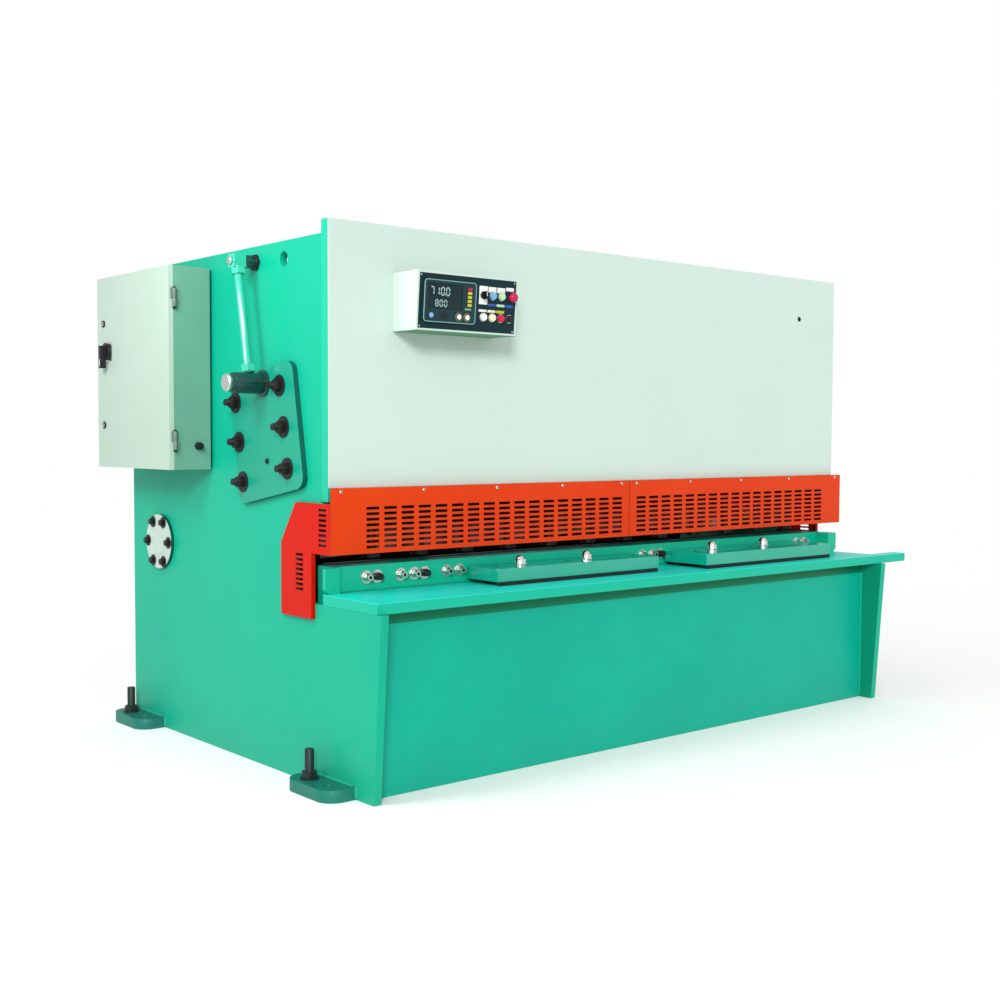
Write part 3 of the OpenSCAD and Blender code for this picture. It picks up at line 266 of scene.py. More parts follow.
def floor_paint(name):
    """Pale seamless studio floor: matt, with a very faint mottle."""
    mat, tree, out, at = new_material(name)
    mottle = add_node(tree, "ShaderNodeTexNoise", {"Vector": at, "Scale": FLOOR_MOTTLE, "Detail": 4.0})
    tone = add_node(tree, "ShaderNodeMix", {
        AMOUNT: mottle.outputs["Fac"], FIRST: hex_linear("#FEFEFD"), SECOND: hex_linear("#FCFCFB")},
        data_type="RGBA").outputs[MIXED]
    skin = add_node(tree, "ShaderNodeBsdfPrincipled", {
        "Base Color": tone, "Roughness": 0.9, "Specular IOR Level": 0.1})
    tree.links.new(skin.outputs["BSDF"], out.inputs["Surface"])
    return mat


PALETTE = {}


def make_palette(c):
    """All finishes of the shear, keyed by a short workshop name."""
    skin, rim = 0.0005, 0.0012    # how far past a face the painted shade starts, on inner faces and on the faces it spares
    PALETTE.update({
        # Teal enamel sprayed on flame-cut plate: even and satin, dusty near the floor, its inner faces
        # painted darker as painted shade
        "teal": sprayed_enamel("teal_sprayed_enamel", c.teal, c.teal_shade, 0.38, dust=0.25, level=0.15,
                               painted_shade=("X", 0.0, INNER_X + skin, c.inner)),
        # The same paint on the machined beam and the cover's edge bars: a little brighter, no dust
        "teal_beam": sprayed_enamel("teal_beam_enamel", "#07AA86", "#06A184", 0.36),
        # Sprayed last and upright, so it is bluer and flatter, with a painted shadow band under the table's
        # lip
        "teal_front": sprayed_enamel("teal_front_enamel", c.front, c.front_shade, 0.36, dust=0.15,
                                     level=0.15, painted_shade=("Z", TABLE_LO[2] - LIP_SHADE, 2.0, "#05704F")),
        # Kicked and swept paint on the lugs: darker, duller and dusty
        "teal_foot": sprayed_enamel("scuffed_foot_enamel", "#067463", "#07605A", 0.42, dust=0.3, level=0.2),
        # Level top, light and smooth: the top is painted lighter as painted light, and its edges and the
        # faces below it darker as painted shade
        "teal_table": sprayed_enamel("teal_table_top_enamel", "#1CD9C8", "#1AD0C0", 0.34, level=0.2,
                                     painted_shade=("Z", 0.0, TABLE_HI[2] - rim, "#08A78A")),
        # Gloss enamel rubbed bright by sheets: sharp highlights; the runners below are painted near black as
        # painted shadow
        "teal_block": sprayed_enamel("teal_gloss_block_enamel", c.front, c.front_shade, 0.16, level=0.7,
                                     painted_shade=("Z", 0.0, LEFT_BLOCK[0][2] + RUNNER_SHADE_H, "#0B1512")),
        # Separate plate, sprayed flat before it was bolted on: deeper green, its edge painted dark as painted
        # shadow
        "teal_plate": sprayed_enamel("teal_cylinder_plate_enamel", "#058E74", "#058870", 0.28, level=0.3,
                                     painted_shade=("X", 0.0, -PLATES[0][0] - 0.0016, "#0A5348")),
        # Teal inside the frame, painted darker as painted shade for the dark interior: flat
        "teal_in": sprayed_enamel("shaded_teal_enamel_inner", c.inner, c.inner_shade, 0.5),
        # The same coat painted nearly black beside the blades, as painted shade in the dark gap under the
        # guard
        "shade_dark_teal": sprayed_enamel("shade_dark_enamel_at_blades", "#07382E", "#062E27", 0.42),
        # Pale enamel on thin folded sheet: smooth, softly glossy; all behind its front face painted grey as
        # painted shade
        "pale": sprayed_enamel("pale_green_white_enamel", c.pale, c.pale_shade, 0.38, peel_mm=4.0,
                               painted_shade=("Y", COVER_LO[1] + rim, 0.0, "#39453F")),
        # The same on the control box, its underside painted green-grey as painted shade
        "box": sprayed_enamel("pale_box_enamel", c.pale, c.pale_shade, 0.38, peel_mm=4.0,
                              painted_shade=("Z", 0.0, BOX_LO[2] + rim, "#4C8A62")),
        # Brushed thinly on the turned caps: greyer, with a dark green rim of painted shadow
        "cap": sprayed_enamel("pale_pivot_cap_enamel", c.cap, c.cap_shade, 0.38, peel_mm=4.0,
                              painted_shade=("X", 0.0, -CAPS[0][0] - 0.0022, "#0C4238")),
        # Enamel stoved on a bought cabinet: a finer peel; the faces in front of the hinge line are painted
        # grey as painted shade
        "door": sprayed_enamel("pale_cabinet_door_enamel", c.door, c.door_shade, 0.40, peel_mm=3.0,
                               painted_shade=("Y", 0.0, HINGE_EDGE, "#62736A")),
        "cabinet": sprayed_enamel("grey_green_cabinet_enamel", c.cabinet, c.cabinet_shade, 0.45, peel_mm=3.0,
                                  painted_shade=("Y", 0.0, HINGE_EDGE, "#62736A")),
        # Signal red-orange on the pierced sheets: bright outside; the slots and all behind the front face
        # painted nearly black as painted shade
        "red": sprayed_enamel("red_orange_guard_enamel", c.red, c.red_shade, 0.38, peel_mm=3.0, level=0.15,
                              painted_shade=("Y", GUARD_LO[1] + 0.0006, -0.6, "#3A0A06")),
        # The guard's red painted deeper and cooler on the side pieces, as painted shade
        "red_side_shaded": sprayed_enamel("red_guard_side_shaded_enamel", "#B81400", "#B31200", 0.38, peel_mm=3.0,
                                   level=0.1),
        # Enamel over cast iron: dull and a little grey
        "motor": sprayed_enamel("motor_cast_iron_enamel", "#2E8C78", "#26786A", 0.45),
        # Brushed paint on turned fittings: dark and shiny
        "fitting": sprayed_enamel("dark_green_fitting_paint", "#0E3F38", "#0B342F", 0.32, level=0.5),
        # Gloss enamel on drawn tube: one long sharp highlight
        "pipe": sprayed_enamel("glossy_teal_pipe_enamel", c.pipe, c.pipe_shade, 0.14, level=0.9),
        # Tool steel, hardened and surface ground along the blade: grey with fine lengthwise lines
        "blade": worked_steel("ground_tool_steel", "#43484B", 0.38, 0.9, 0, "#5A5F62"),
        # Steel turned and polished on the lathe: bright with a soft streak
        "shaft": worked_steel("turned_bright_steel", "#8A8E91", 0.28, 1.1, 0),
        # Hardened ball steel, lapped: near mirror white
        "ball": worked_steel("polished_ball_steel", "#E4E8E8", 0.16, 3.0, 2, "#F4F6F6"),
        # Zinc plated from a bath: pale and silvery, slightly cloudy
        "zinc": worked_steel("zinc_plated_fastener", "#E4E6DF", 0.30, 1.2, 1, "#B9BDB8"),
        # Steel blackened in a hot bath and oiled: soft blue-black, brown where it is thin
        "oxide": black_oxide("black_oxide_fastener"),
        # Phosphated steel: flat dark grey; on the hold-downs under the guard the dark grey is also painted
        # shade, and it colours the dark sheets of painted shade at the blade ends
        "phosphate": black_oxide("phosphated_hold_down_steel", "#14181A", "#1D211F"),
        # Black screws kept oily on a damp floor: blue-black with a green-brown tinge
        "screw": black_oxide("oiled_levelling_screw", "#14252C", "#2E3A33"),
        # ABS moulded in a spark-eroded tool: black with a satin grain
        "abs": moulded_plastic("black_abs_moulding", "#101216", 0.42),
        # Printed polyester film on the panel: flat dark blue-green, a coarser grain
        "panel": moulded_plastic("blue_green_control_panel", "#0B2A30", 0.5, 1.4, level=0.15),
        # Moulded case and film of the controller: dark and dull, with a pale printed outline
        "bezel": moulded_plastic("dark_controller_case", "#16343A", 0.45, level=0.2),
        "ring": moulded_plastic("pale_controller_outline", "#6F9C92", 0.5),
        # Display window and its figures, lit behind tinted acrylic in a bright room: dim, greyish
        "lcd": moulded_plastic("dark_display_window", "#10262B", 0.35, 2.0, level=0.2),
        "digit": moulded_plastic("pale_display_digit", "#93B5B0", 0.5, 1.0),
        # Key rings and strips of coloured film over the keys: flat, clear colour
        "olive": moulded_plastic("olive_key_ring", "#66692A", 0.4),
        "yellow": moulded_plastic("yellow_key_strip", "#BDB535", 0.4),
        # Button caps moulded in coloured polycarbonate: smooth and bright with a small highlight
        "white": moulded_plastic("white_button_cap", "#E2E6E0", 0.3),
        "blue": moulded_plastic("blue_button_cap", "#2450A8", 0.3),
        "sky": moulded_plastic("light_blue_button_cap", "#6FA6D2", 0.3),
        "green": moulded_plastic("green_button_cap", "#A9D8B0", 0.3),
        "cream": moulded_plastic("cream_button_cap", "#EAE2BE", 0.3),
        "crimson": moulded_plastic("red_button_cap", "#C4143A", 0.3),
        "mushroom": moulded_plastic("red_mushroom_cap", "#B40E48", 0.26),
        # Extruded rubber: black without a highlight; also black discs and bars of painted shade for recesses,
        # slots, holes and the gap under the table blocks
        "gasket": moulded_plastic("black_gasket_and_recess_shade", "#141615", 0.7),
        # Clear moulded tube with oil behind it: amber and very smooth
        "lens": moulded_plastic("amber_gauge_lens", "#C9A23C", 0.1),
    })


NODE_FINISH = {
    "teal": "side_plate_left side_plate_right",
    "teal_foot": "foot_lugs",
    "teal_table": "table_plate",
    "teal_beam": "lower_knife_beam beam_end_blocks cover_edge_bars",
    "teal_front": "bed_front_plate",
    "teal_block": "table_block_left table_block_right",
    "teal_plate": "cylinder_plates",
    "teal_in": "bed_ribs swing_beam_web swing_arms main_cylinders front_top_rail oil_tank rear_chute "
               "rear_cross_beam",
    "shade_dark_teal": "swing_beam_face hold_down_beam back_gauge_bar",
    "pale": "front_cover",
    "box": "control_box",
    "cap": "pivot_caps",
    "door": "cabinet_door",
    "cabinet": "cabinet_body",
    "red": "guard_panel_left guard_panel_right",
    "red_side_shaded": "guard_sides",
    "motor": "pump_motor",
    "fitting": "pipe_unions",
    "blade": "lower_blade upper_blade",
    "shaft": "pivot_pins cylinder_rods back_gauge_rails",
    "ball": "ball_units",
    "phosphate": "hold_down_cylinders hold_down_feet",
    "pipe": "oil_pipes",
    "screw": "levelling_screws",
    "oxide": "door_locks",
    "abs": "selector_knob main_switch cabinet_gland",
    "bezel": "controller",
    "panel": "control_panel",
    "zinc": "push_buttons",
    "mushroom": "emergency_stop",
}


# Surfaces worked out with numpy

def basis(axis, up=(0, 0, 1)):
    """Rows are the local x, y and z of a piece whose z points along axis, with y as near up as it can be."""
    z = np.array(axis, float)
    z /= np.linalg.norm(z)
    up = np.array(up, float)
    if abs(z @ up) > 0.99 * np.linalg.norm(up):
        up = np.array((0.0, 1.0, 0.0))
    x = np.cross(up, z)
    x /= np.linalg.norm(x)
    return np.array((x, np.cross(z, x), z))


def put(shell, at, key, axis=(0, 0, 1), up=(0, 0, 1)):
    """A shell's local points turned to the axis and moved to at, with its finish."""
    verts, faces = shell
    return verts @ basis(axis, up) + np.array(at, float), faces, key


def volume(verts, faces):
    """Signed volume of a closed shell: the sum of tetrahedra from the origin, each face as a fan."""
    total = 0.0
    for width in {len(f) for f in faces}:
        f = np.array([q for q in faces if len(q) == width])
        for k in range(1, width - 1):
            a, b, c = verts[f[:, 0]], verts[f[:, k]], verts[f[:, k + 1]]
            total += float(np.einsum("ij,ij->i", a, np.cross(b, c)).sum()) / 6
    return total


def outward(verts, faces):
    """The faces turned round if the shell's volume comes out negative."""
    centred = verts - verts.mean(axis=0)
    return [f[::-1] for f in faces] if volume(centred, faces) < 0 else faces


def tube_shell(rings):
    """Closed shell from rings (m, n, 3): quads between neighbouring rings and one flat face at each end."""
    m, n, _ = rings.shape
    i, j = np.meshgrid(np.arange(m - 1), np.arange(n), indexing="ij")
    a, b = i * n + j, i * n + (j + 1) % n
    quads = np.stack((a, b, b + n, a + n), axis=-1).reshape(-1, 4)
    faces = [tuple(q) for q in quads.tolist()]
    faces += [tuple(range(n - 1, -1, -1)), tuple(range((m - 1) * n, m * n))]
    verts = rings.reshape(-1, 3)
    return verts, outward(verts, faces)


def loop_shell(rings):
    """Ring-shaped surface from sections (m, n, 3): quads between neighbours, the last joined to the first."""
    m, n, _ = rings.shape
    i, j = np.meshgrid(np.arange(m), np.arange(n), indexing="ij")
    here, ahead, side = i * n, ((i + 1) % m) * n, (j + 1) % n
    quads = np.stack((here + j, here + side, ahead + side, ahead + j), axis=-1).reshape(-1, 4)
    verts = rings.reshape(-1, 3)
    return verts, outward(verts, [tuple(q) for q in quads.tolist()])


def revolved(profile, sides=32):
    """Surface of revolution: (r cos t, r sin t, h) for each (r, h) of the profile, its ends closed flat."""
    p = np.maximum(np.array(profile, float), (1e-5, -1e9))
    t = np.linspace(0, 2 * np.pi, sides, endpoint=False)
    r, h = p[:, :1], np.repeat(p[:, 1:], sides, axis=1)
    return tube_shell(np.stack((r * np.cos(t), r * np.sin(t), h), axis=-1))


def disc(radius, height, sides=24):
    """Flat round disc: the revolved rectangle of that radius and height."""
    return revolved(((0, 0), (radius, 0), (radius, height), (0, height)), sides)


def prism(outline, levels):
    """The outline carried along z: at each level (h, s) it is scaled by s about its middle."""
    o = np.array(outline, float)
    mid = (o.min(axis=0) + o.max(axis=0)) / 2
    rings = np.array([np.column_stack((mid + (o - mid) * s, np.full(len(o), h))) for h, s in levels])
    return tube_shell(rings)


def ngon(radius, sides, turn=0.0):
    """Regular polygon of that corner radius."""
    t = np.linspace(0, 2 * np.pi, sides, endpoint=False) + turn
    return np.column_stack((radius * np.cos(t), radius * np.sin(t)))


def rounded(w, h, r, steps=6):
    """Outline of a w by h rectangle with corner radius r, about its middle."""
    t = np.linspace(0, np.pi / 2, steps)
    arc = np.column_stack((np.cos(t), np.sin(t))) * r
    parts = []
    for k, (sx, sy) in enumerate(((1, 1), (-1, 1), (-1, -1), (1, -1))):
        c, s = math.cos(k * math.pi / 2), math.sin(k * math.pi / 2)
        turned = arc @ np.array(((c, s), (-s, c)))
        parts.append(turned + np.array((sx * (w / 2 - r), sy * (h / 2 - r))))
    return np.vstack(parts)


def flat_bar(w, h, r, low, high, steps=3):
    """Flat bar with rounded corners: a w by h outline of corner radius r carried from low to high."""
    return prism(rounded(w, h, r, steps), ((low, 1.0), (high, 1.0)))


def round_about(count, radius, turn=0.0):
    """Places evenly round a circle, as (angle, r cos angle, r sin angle)."""
    a = np.arange(count) * 2 * math.pi / count + turn
    return zip(a, radius * np.cos(a), radius * np.sin(a))


def rim_bead(outline, radius, sides=8):
    """Round bead along a closed flat outline: p + r (n cos t + z sin t), with n across the outline."""
    p = np.array(outline, float)
    d = np.roll(p, -1, axis=0) - np.roll(p, 1, axis=0)
    d /= np.linalg.norm(d, axis=1, keepdims=True)
    across = np.column_stack((d[:, 1], -d[:, 0], np.zeros(len(p))))
    t = np.linspace(0, 2 * np.pi, sides, endpoint=False)
    ring = across[:, None] * np.cos(t)[None, :, None] + np.array((0, 0, 1.0)) * np.sin(t)[None, :, None]
    return loop_shell(np.column_stack((p, np.zeros(len(p))))[:, None] + radius * ring)


def swept(path, radius, sides=10, ripple=0.0, pitch=0.006):
    """Round bead along a path: at arc length s its radius is r (1 + ripple sin(2 pi s / pitch))."""
    p = np.array(path, float)
    d = np.gradient(p, axis=0)
    d /= np.linalg.norm(d, axis=1, keepdims=True)
    ref = np.where(np.abs(d[:, 2:]) > 0.9, np.array((1.0, 0, 0)), np.array((0, 0, 1.0)))
    u = np.cross(ref, d)
    u /= np.linalg.norm(u, axis=1, keepdims=True)
    v = np.cross(d, u)
    s = np.concatenate(([0.0], np.cumsum(np.linalg.norm(np.diff(p, axis=0), axis=1))))
    r = radius * (1 + ripple * np.sin(2 * np.pi * s / pitch))
    t = np.linspace(0, 2 * np.pi, sides, endpoint=False)
    ring = u[:, None] * np.cos(t)[None, :, None] + v[:, None] * np.sin(t)[None, :, None]
    return tube_shell(p[:, None] + ring * r[:, None, None])


def threaded(radius, length, pitch, depth, sides=20):
    """Screw thread: r = R - d |2 frac(h/p - t/2pi) - 1| at height h and angle t, its ends closed flat."""
    h = np.linspace(0, length, int(length / pitch * 6))[:, None]
    t = np.linspace(0, 2 * np.pi, sides, endpoint=False)
    r = radius - depth * np.abs(2 * np.mod(h / pitch - t / (2 * np.pi), 1.0) - 1)
    return tube_shell(np.stack((r * np.cos(t), r * np.sin(t), np.broadcast_to(h, r.shape)), axis=-1))


def line(a, b, step):
    """Points from a to b about a step apart."""
    a, b = np.array(a, float), np.array(b, float)
    n = max(2, int(np.linalg.norm(b - a) / step) + 1)
    return a + (b - a) * np.linspace(0, 1, n)[:, None]


def build(name, shells, body="frame"):
    """One object from shells (verts, faces, finish): its place is in its mesh, and it rides on a body."""
    mesh = bpy.data.meshes.new(name)
    verts, faces, finish = [], [], []
    used, start = [], 0
    for v, f, key in shells:
        if key not in used:
            used.append(key)
        verts.append(v)
        faces += [tuple(i + start for i in q) for q in f]
        finish += [used.index(key)] * len(f)
        start += len(v)
    mesh.from_pydata(np.vstack(verts).tolist(), [], faces)
    for key in used:
        mesh.materials.append(PALETTE[key])
    mesh.polygons.foreach_set("material_index", finish)
    mesh.validate()
    mesh.set_sharp_from_angle(angle=math.radians(40))
    obj = bpy.data.objects.new(name, mesh)
    bpy.context.scene.collection.objects.link(obj)
    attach(obj, body)
    return obj


# Fasteners, each a list of shells

def hex_bolt(at, axis, flats, key="oxide", washer="oxide", turn=0.0):
    """Hexagon head with a turned chamfer on a plain washer: a prism that narrows at its top edge."""
    h0, h = flats * 0.13, flats * 0.62
    seat = revolved(((0, 0), (flats * 0.98, 0), (flats, flats * 0.03), (flats * 0.97, h0), (0, h0)), 28)
    body = prism(ngon(flats / math.sqrt(3), 6, turn), (
        (h0, 0.97), (h0 + h * 0.08, 1.0), (h0 + h * 0.82, 1.0), (h0 + h, 0.86)))
    return [put(seat, at, washer, axis), put(body, at, key, axis)]


def stud_and_nut(at, axis, flats, key="oxide", turn=0.0):
    """Stud end with its nut and washer: the thread stands 0.45 of the nut's width out of the nut."""
    nut = hex_bolt(at, axis, flats, key, key, turn)
    foot = np.array(at, float) + basis(axis)[2] * flats * 0.7
    stud = threaded(flats / 3, flats * 0.5, flats * 0.08, flats * 0.03, 18)
    return nut + [put(stud, foot, key, axis)]


def socket_screw(at, axis, dia, key="oxide", head=1.0):
    """Cap screw: a cylinder head with a rounded top edge, and its hexagon socket a black hexagon of painted
    shade.
    """
    r, h = dia * 0.75, dia * head
    body = revolved(((0, 0), (r, 0), (r, h * 0.86), (r * 0.93, h), (r * 0.62, h)), 28)
    socket_shade = prism(ngon(r * 0.60, 6), ((h * 0.5, 0.98), (h * 1.004, 1.0)))
    return [put(body, at, key, axis), put(socket_shade, at, "gasket", axis)]


def pan_screw(at, axis, dia, key="zinc"):
    """Pan head screw: r = R cos(t), h = H sin(t) over a quarter turn, its cross recess in two dark bars of
    painted shade.
    """
    t = np.linspace(0, np.pi / 2, 6)
    dome = np.column_stack((dia * np.cos(t), dia * 0.15 + dia * 0.5 * np.sin(t)))
    out = [put(revolved([(0, 0), (dia, 0), *dome.tolist()], 20), at, key, axis)]
    for w, l in ((0.24, 1.1), (1.1, 0.24)):
        bar = flat_bar(dia * w, dia * l, dia * 0.05, dia * 0.3, dia * 0.66, 2)
        out.append(put(bar, at, "gasket", axis))
    return out


def ring_nut(at, axis, flats, h, key="zinc"):
    """Plain hexagon nut round a pipe or screw, chamfered at both ends."""
    body = prism(ngon(flats / math.sqrt(3), 6), ((0, 0.9), (h * 0.14, 1.0), (h * 0.86, 1.0), (h, 0.9)))
    return put(body, at, key, axis)


def mirror_shells(shells):
    """The same shells on the other end of the machine: x changes sign and the faces turn round."""
    return [(v * np.array((-1, 1, 1)), [q[::-1] for q in f], k) for v, f, k in shells]


def both_ends(name, shells):
    """The shells of the left end and their mirror image, as two pieces."""
    build(name + "_left", shells)
    build(name + "_right", mirror_shells(shells))


def face_point(u, v, w=0.0):
    """Point on the leaning control face: along the box, up the face and out of it, in metres."""
    return (BOX_LO[0] + u, COVER_LO[1] - BOX_LOW_D + v * math.cos(FACE_TURN) - w * math.sin(FACE_TURN),
            BOX_LO[2] + v * math.sin(FACE_TURN) + w * math.cos(FACE_TURN))


def on_face(shell, u, v, w, key):
    """A shell placed on the control face."""
    return put(shell, face_point(u, v, w), key, FACE_AXIS)


def plate(w, h, t, r):
    """Flat plate with rounded corners and softly broken upper edge."""
    soft = 1 - min(t, 0.001) / max(w, h)
    return prism(rounded(w, h, r), ((0, 1.0), (t * 0.7, 1.0), (t, soft)))


# Settings

def paint_prop(name, description, default):
    """A paint colour as an sRGB hex value."""
    return bpy.props.StringProperty(name=name, description=description, default=default, maxlen=7)


def size_prop(name, description, default):
    """A length in metres."""
    return bpy.props.FloatProperty(
        name=name, description=description, default=default, min=0.0005, unit="LENGTH")


class ShearColours(bpy.types.PropertyGroup):
    """Paint colours as sRGB hex values; each shade is the cloud in the colour before it."""
    teal: paint_prop("Frame", "Teal enamel of the frame", "#06A17E")
    teal_shade: paint_prop("Frame shade", "Cooler cloud in the frame's teal", "#069B80")
    front: paint_prop("Bed front", "Teal of the bed front", "#049E85")
    front_shade: paint_prop("Bed front shade", "Cloud in the bed front's teal", "#049781")
    # The teal inside is darker than the frame's as painted shade for the dark interior
    inner: paint_prop("Inside", "Teal inside the frame", "#088468")
    inner_shade: paint_prop("Inside shade", "Cloud in the teal inside", "#077A63")
    pale: paint_prop("Cover", "Pale enamel of the cover and the control box", "#B9CBC1")
    pale_shade: paint_prop("Cover shade", "Cloud in the cover's enamel", "#B6C8BF")
    cap: paint_prop("Cap", "Pale enamel of the pivot caps", "#AFC0B7")
    cap_shade: paint_prop("Cap shade", "Cloud in the caps' enamel", "#A5B7AD")
    door: paint_prop("Door", "Pale enamel of the cabinet door", "#A2B6AA")
    door_shade: paint_prop("Door shade", "Cloud in the door's enamel", "#9DB2A5")
    cabinet: paint_prop("Cabinet", "Grey-green of the cabinet body", "#629682")
    cabinet_shade: paint_prop("Cabinet shade", "Cloud in the cabinet's enamel", "#5A8E7B")
    red: paint_prop("Guard", "Red-orange enamel of the guard", "#CC3800")
    red_shade: paint_prop("Guard shade", "Cloud in the guard's enamel", "#C63100")
    pipe: paint_prop("Pipe", "Teal of the oil pipes", "#2FB296")
    pipe_shade: paint_prop("Pipe shade", "Cloud in the pipes' teal", "#279F86")


class ShearSizes(bpy.types.PropertyGroup):
    """Sizes of the small parts."""
    plate_bolt: size_prop("Plate bolt", "Width over flats of the cylinder plate nuts", 0.036)
    cap_bolt: size_prop("Cap bolt", "Width over flats of the pivot cap bolts", 0.022)
    adjuster: size_prop("Adjuster", "Width over flats of the blade adjusting bolts", 0.024)
    guard_screw: size_prop("Guard screw", "Head radius of the guard screws", 0.006)
    bead: size_prop("Weld bead", "Radius of a fillet weld", 0.005)
    edge: size_prop("Plate edge", "Broken edge of the plates", 0.0015)


# Operators

class SHEAR_OT_paint(bpy.types.Operator):
    """Gives every sheet, plate and turned part of the frame its finish and its broken edges"""
    bl_idname = "shear.paint"
    bl_label = "Paint the frame"

    def execute(self, context):
        make_palette(context.scene.shear_colours)
        edge, sheet_edge = context.scene.shear_sizes.edge, 0.0008
        fine = "control_panel controller push_buttons door_locks selector_knob emergency_stop".split()
        sheet = ("guard", "front_cover", "cabinet")
        for key, names in NODE_FINISH.items():
            for name in names.split():
                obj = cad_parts[name]
                obj.data.materials.clear()
                obj.data.materials.append(PALETTE[key])
                weld = obj.modifiers.new("weld", "WELD")
                weld.merge_threshold = 1e-5
                if name not in fine:
                    b = obj.modifiers.new("edge", "BEVEL")
                    b.width = min(edge, sheet_edge) if name.startswith(sheet) else edge
                    b.segments = 2
                    b.limit_method, b.angle_limit = "ANGLE", math.radians(40)
                    b.harden_normals = True
        return {"FINISHED"}


class SHEAR_OT_side_fasteners(bpy.types.Operator):
    """Studs and nuts of the two cylinder plates, their bleed plugs and the bolts of the two pivot caps"""
    bl_idname = "shear.side_fasteners"
    bl_label = "Side fasteners"

    def execute(self, context):
        size = context.scene.shear_sizes
        c, s = math.cos(CYL_LEAN), math.sin(CYL_LEAN)
        row_pitch, half_pitch = 0.138, 0.148
        plug_y, plug_z, plug_dia = -0.234, 1.043, 0.012
        shells = []
        for row in (-row_pitch, 0.0, row_pitch):
            for side in (-half_pitch, half_pitch):
                at = (PLATES[0][0], CYL_Y + side * c + row * s, CYL_Z - side * s + row * c)
                shells += stud_and_nut(at, LEFT, size.plate_bolt, turn=0.3 + row * 9)
        shells += socket_screw((PLATES[0][0], plug_y, plug_z), LEFT, plug_dia, head=0.5)
        both_ends("cylinder_plate_studs", shells)
        bolt_count, bolt_ring = 6, 0.086
        shells = []
        for a, dy, dz in round_about(bolt_count, bolt_ring):
            shells += hex_bolt((CAPS[0][0], PIVOT_Y + dy, PIVOT_Z + dz), LEFT, size.cap_bolt, turn=a)
        both_ends("pivot_cap_bolts", shells)
        return {"FINISHED"}


class SHEAR_OT_pipework(bpy.types.Operator):
    """Bright outer ends of the unions, flange rings at their feet and the dark nuts on the pipe stubs"""
    bl_idname = "shear.pipework"
    bl_label = "Pipework"

    def execute(self, context):
        union_r, cap_h, edge = 0.035, 0.014, 0.002
        cap = revolved(((0, 0), (union_r * 0.8, 0), (union_r * 0.84, edge), (union_r * 0.84, cap_h - 0.004),
                        (union_r * 0.74, cap_h), (0, cap_h)), 36)
        foot = revolved(((union_r, 0), (union_r * 1.28, 0), (union_r * 1.28, 0.008), (union_r, 0.010)), 36)
        both_ends("union_ends", [put(cap, (UNIONS[0][0], UNION_Y, UNION_Z), "zinc", LEFT),
                                 put(foot, (PLATES[0][0], UNION_Y, UNION_Z), "fitting", LEFT)])
        elbow_y, elbow_z, stub_r, stub_l = -0.130, PIPES[1][2] - 0.022, 0.014, 0.020
        plug_r, plug_h = 0.013, 0.009
        plug = revolved(((0, 0), (plug_r, 0), (plug_r, 0.006), (0.010, plug_h), (0, plug_h)), 24)
        both_ends("pipe_stub_nuts", [
            ring_nut((-HALF_W - stub_l, elbow_y, elbow_z), LEFT, stub_r * 3.0, 0.026, "fitting"),
            ring_nut((-HALF_W, elbow_y, elbow_z), LEFT, stub_r * 3.6, 0.014, "oxide"),
            put(plug, (PIPES[0][0], elbow_y, elbow_z), "zinc", LEFT)])
        return {"FINISHED"}


class SHEAR_OT_welds(bpy.types.Operator):
    """Fillet welds of the bed, the table and the foot lugs, with the ripple of a hand-laid bead"""
    bl_idname = "shear.welds"
    bl_label = "Welds"

    def execute(self, context):
        r = context.scene.shear_sizes.bead
        step, sides, ripple, pitch, inset = 0.0015, 6, 0.10, 0.006, 0.012
        inner = INNER_X - inset

        def bead(a, b, key="teal"):
            verts, faces = swept(line(a, b, step), r, sides, ripple, pitch)
            return verts, faces, key

        corner = bead((-INNER_X, BED_LO[1], inset), (-INNER_X, BED_LO[1], BED_HI[2] - inset), "teal_front")
        both_ends("bed_corner_welds", [corner])
        under = bead((-inner, BED_LO[1], TABLE_LO[2]), (inner, BED_LO[1], TABLE_LO[2]), "teal_front")
        build("table_underside_weld", [under])
        above = bead((-inner, BEAM_LO[1], TABLE_HI[2]), (inner, BEAM_LO[1], TABLE_HI[2]))
        build("knife_beam_weld", [above])
        lug_l, lug_t, front = 0.260, LUGS[1][2], LUGS[0][1]
        shells = []
        for y0 in (front, LUGS[1][1] - lug_l):
            shells.append(bead((-HALF_W, y0 + inset, lug_t), (-HALF_W, y0 + lug_l - inset, lug_t)))
            for y in (y0, y0 + lug_l):
                shells.append(bead((-HALF_W, y, inset / 2), (-HALF_W, y, lug_t)))
        both_ends("foot_lug_welds", shells)
        return {"FINISHED"}


class SHEAR_OT_feet(bpy.types.Operator):
    """Threads, lock washers and chamfered ends of the four levelling screws"""
    bl_idname = "shear.feet"
    bl_label = "Levelling screws"

    def execute(self, context):
        lug_top, nut_h, reach, wide = LUGS[1][2], 0.024, SCREWS[1][2], 0.0153
        anchor_x, anchor_y, offset = 1.375, 0.655, 0.110
        pitch, depth, end_h = 0.0035, 0.0016, 0.002
        nut_top = lug_top + nut_h
        end = revolved(((0, 0), (wide * 0.93, 0), (wide * 0.8, 0.003), (0, 0.0032)), 24)
        shells = []
        for y in (-anchor_y + offset, anchor_y + offset):
            thread = threaded(wide, reach - nut_top - end_h, pitch, depth, 24)
            shells.append(put(thread, (-anchor_x, y, nut_top), "screw"))
            shells.append(put(end, (-anchor_x, y, reach - end_h), "screw"))
            shells.append(put(disc(0.031, 0.004, 36), (-anchor_x, y, lug_top), "screw"))
        both_ends("levelling_threads", shells)
        return {"FINISHED"}


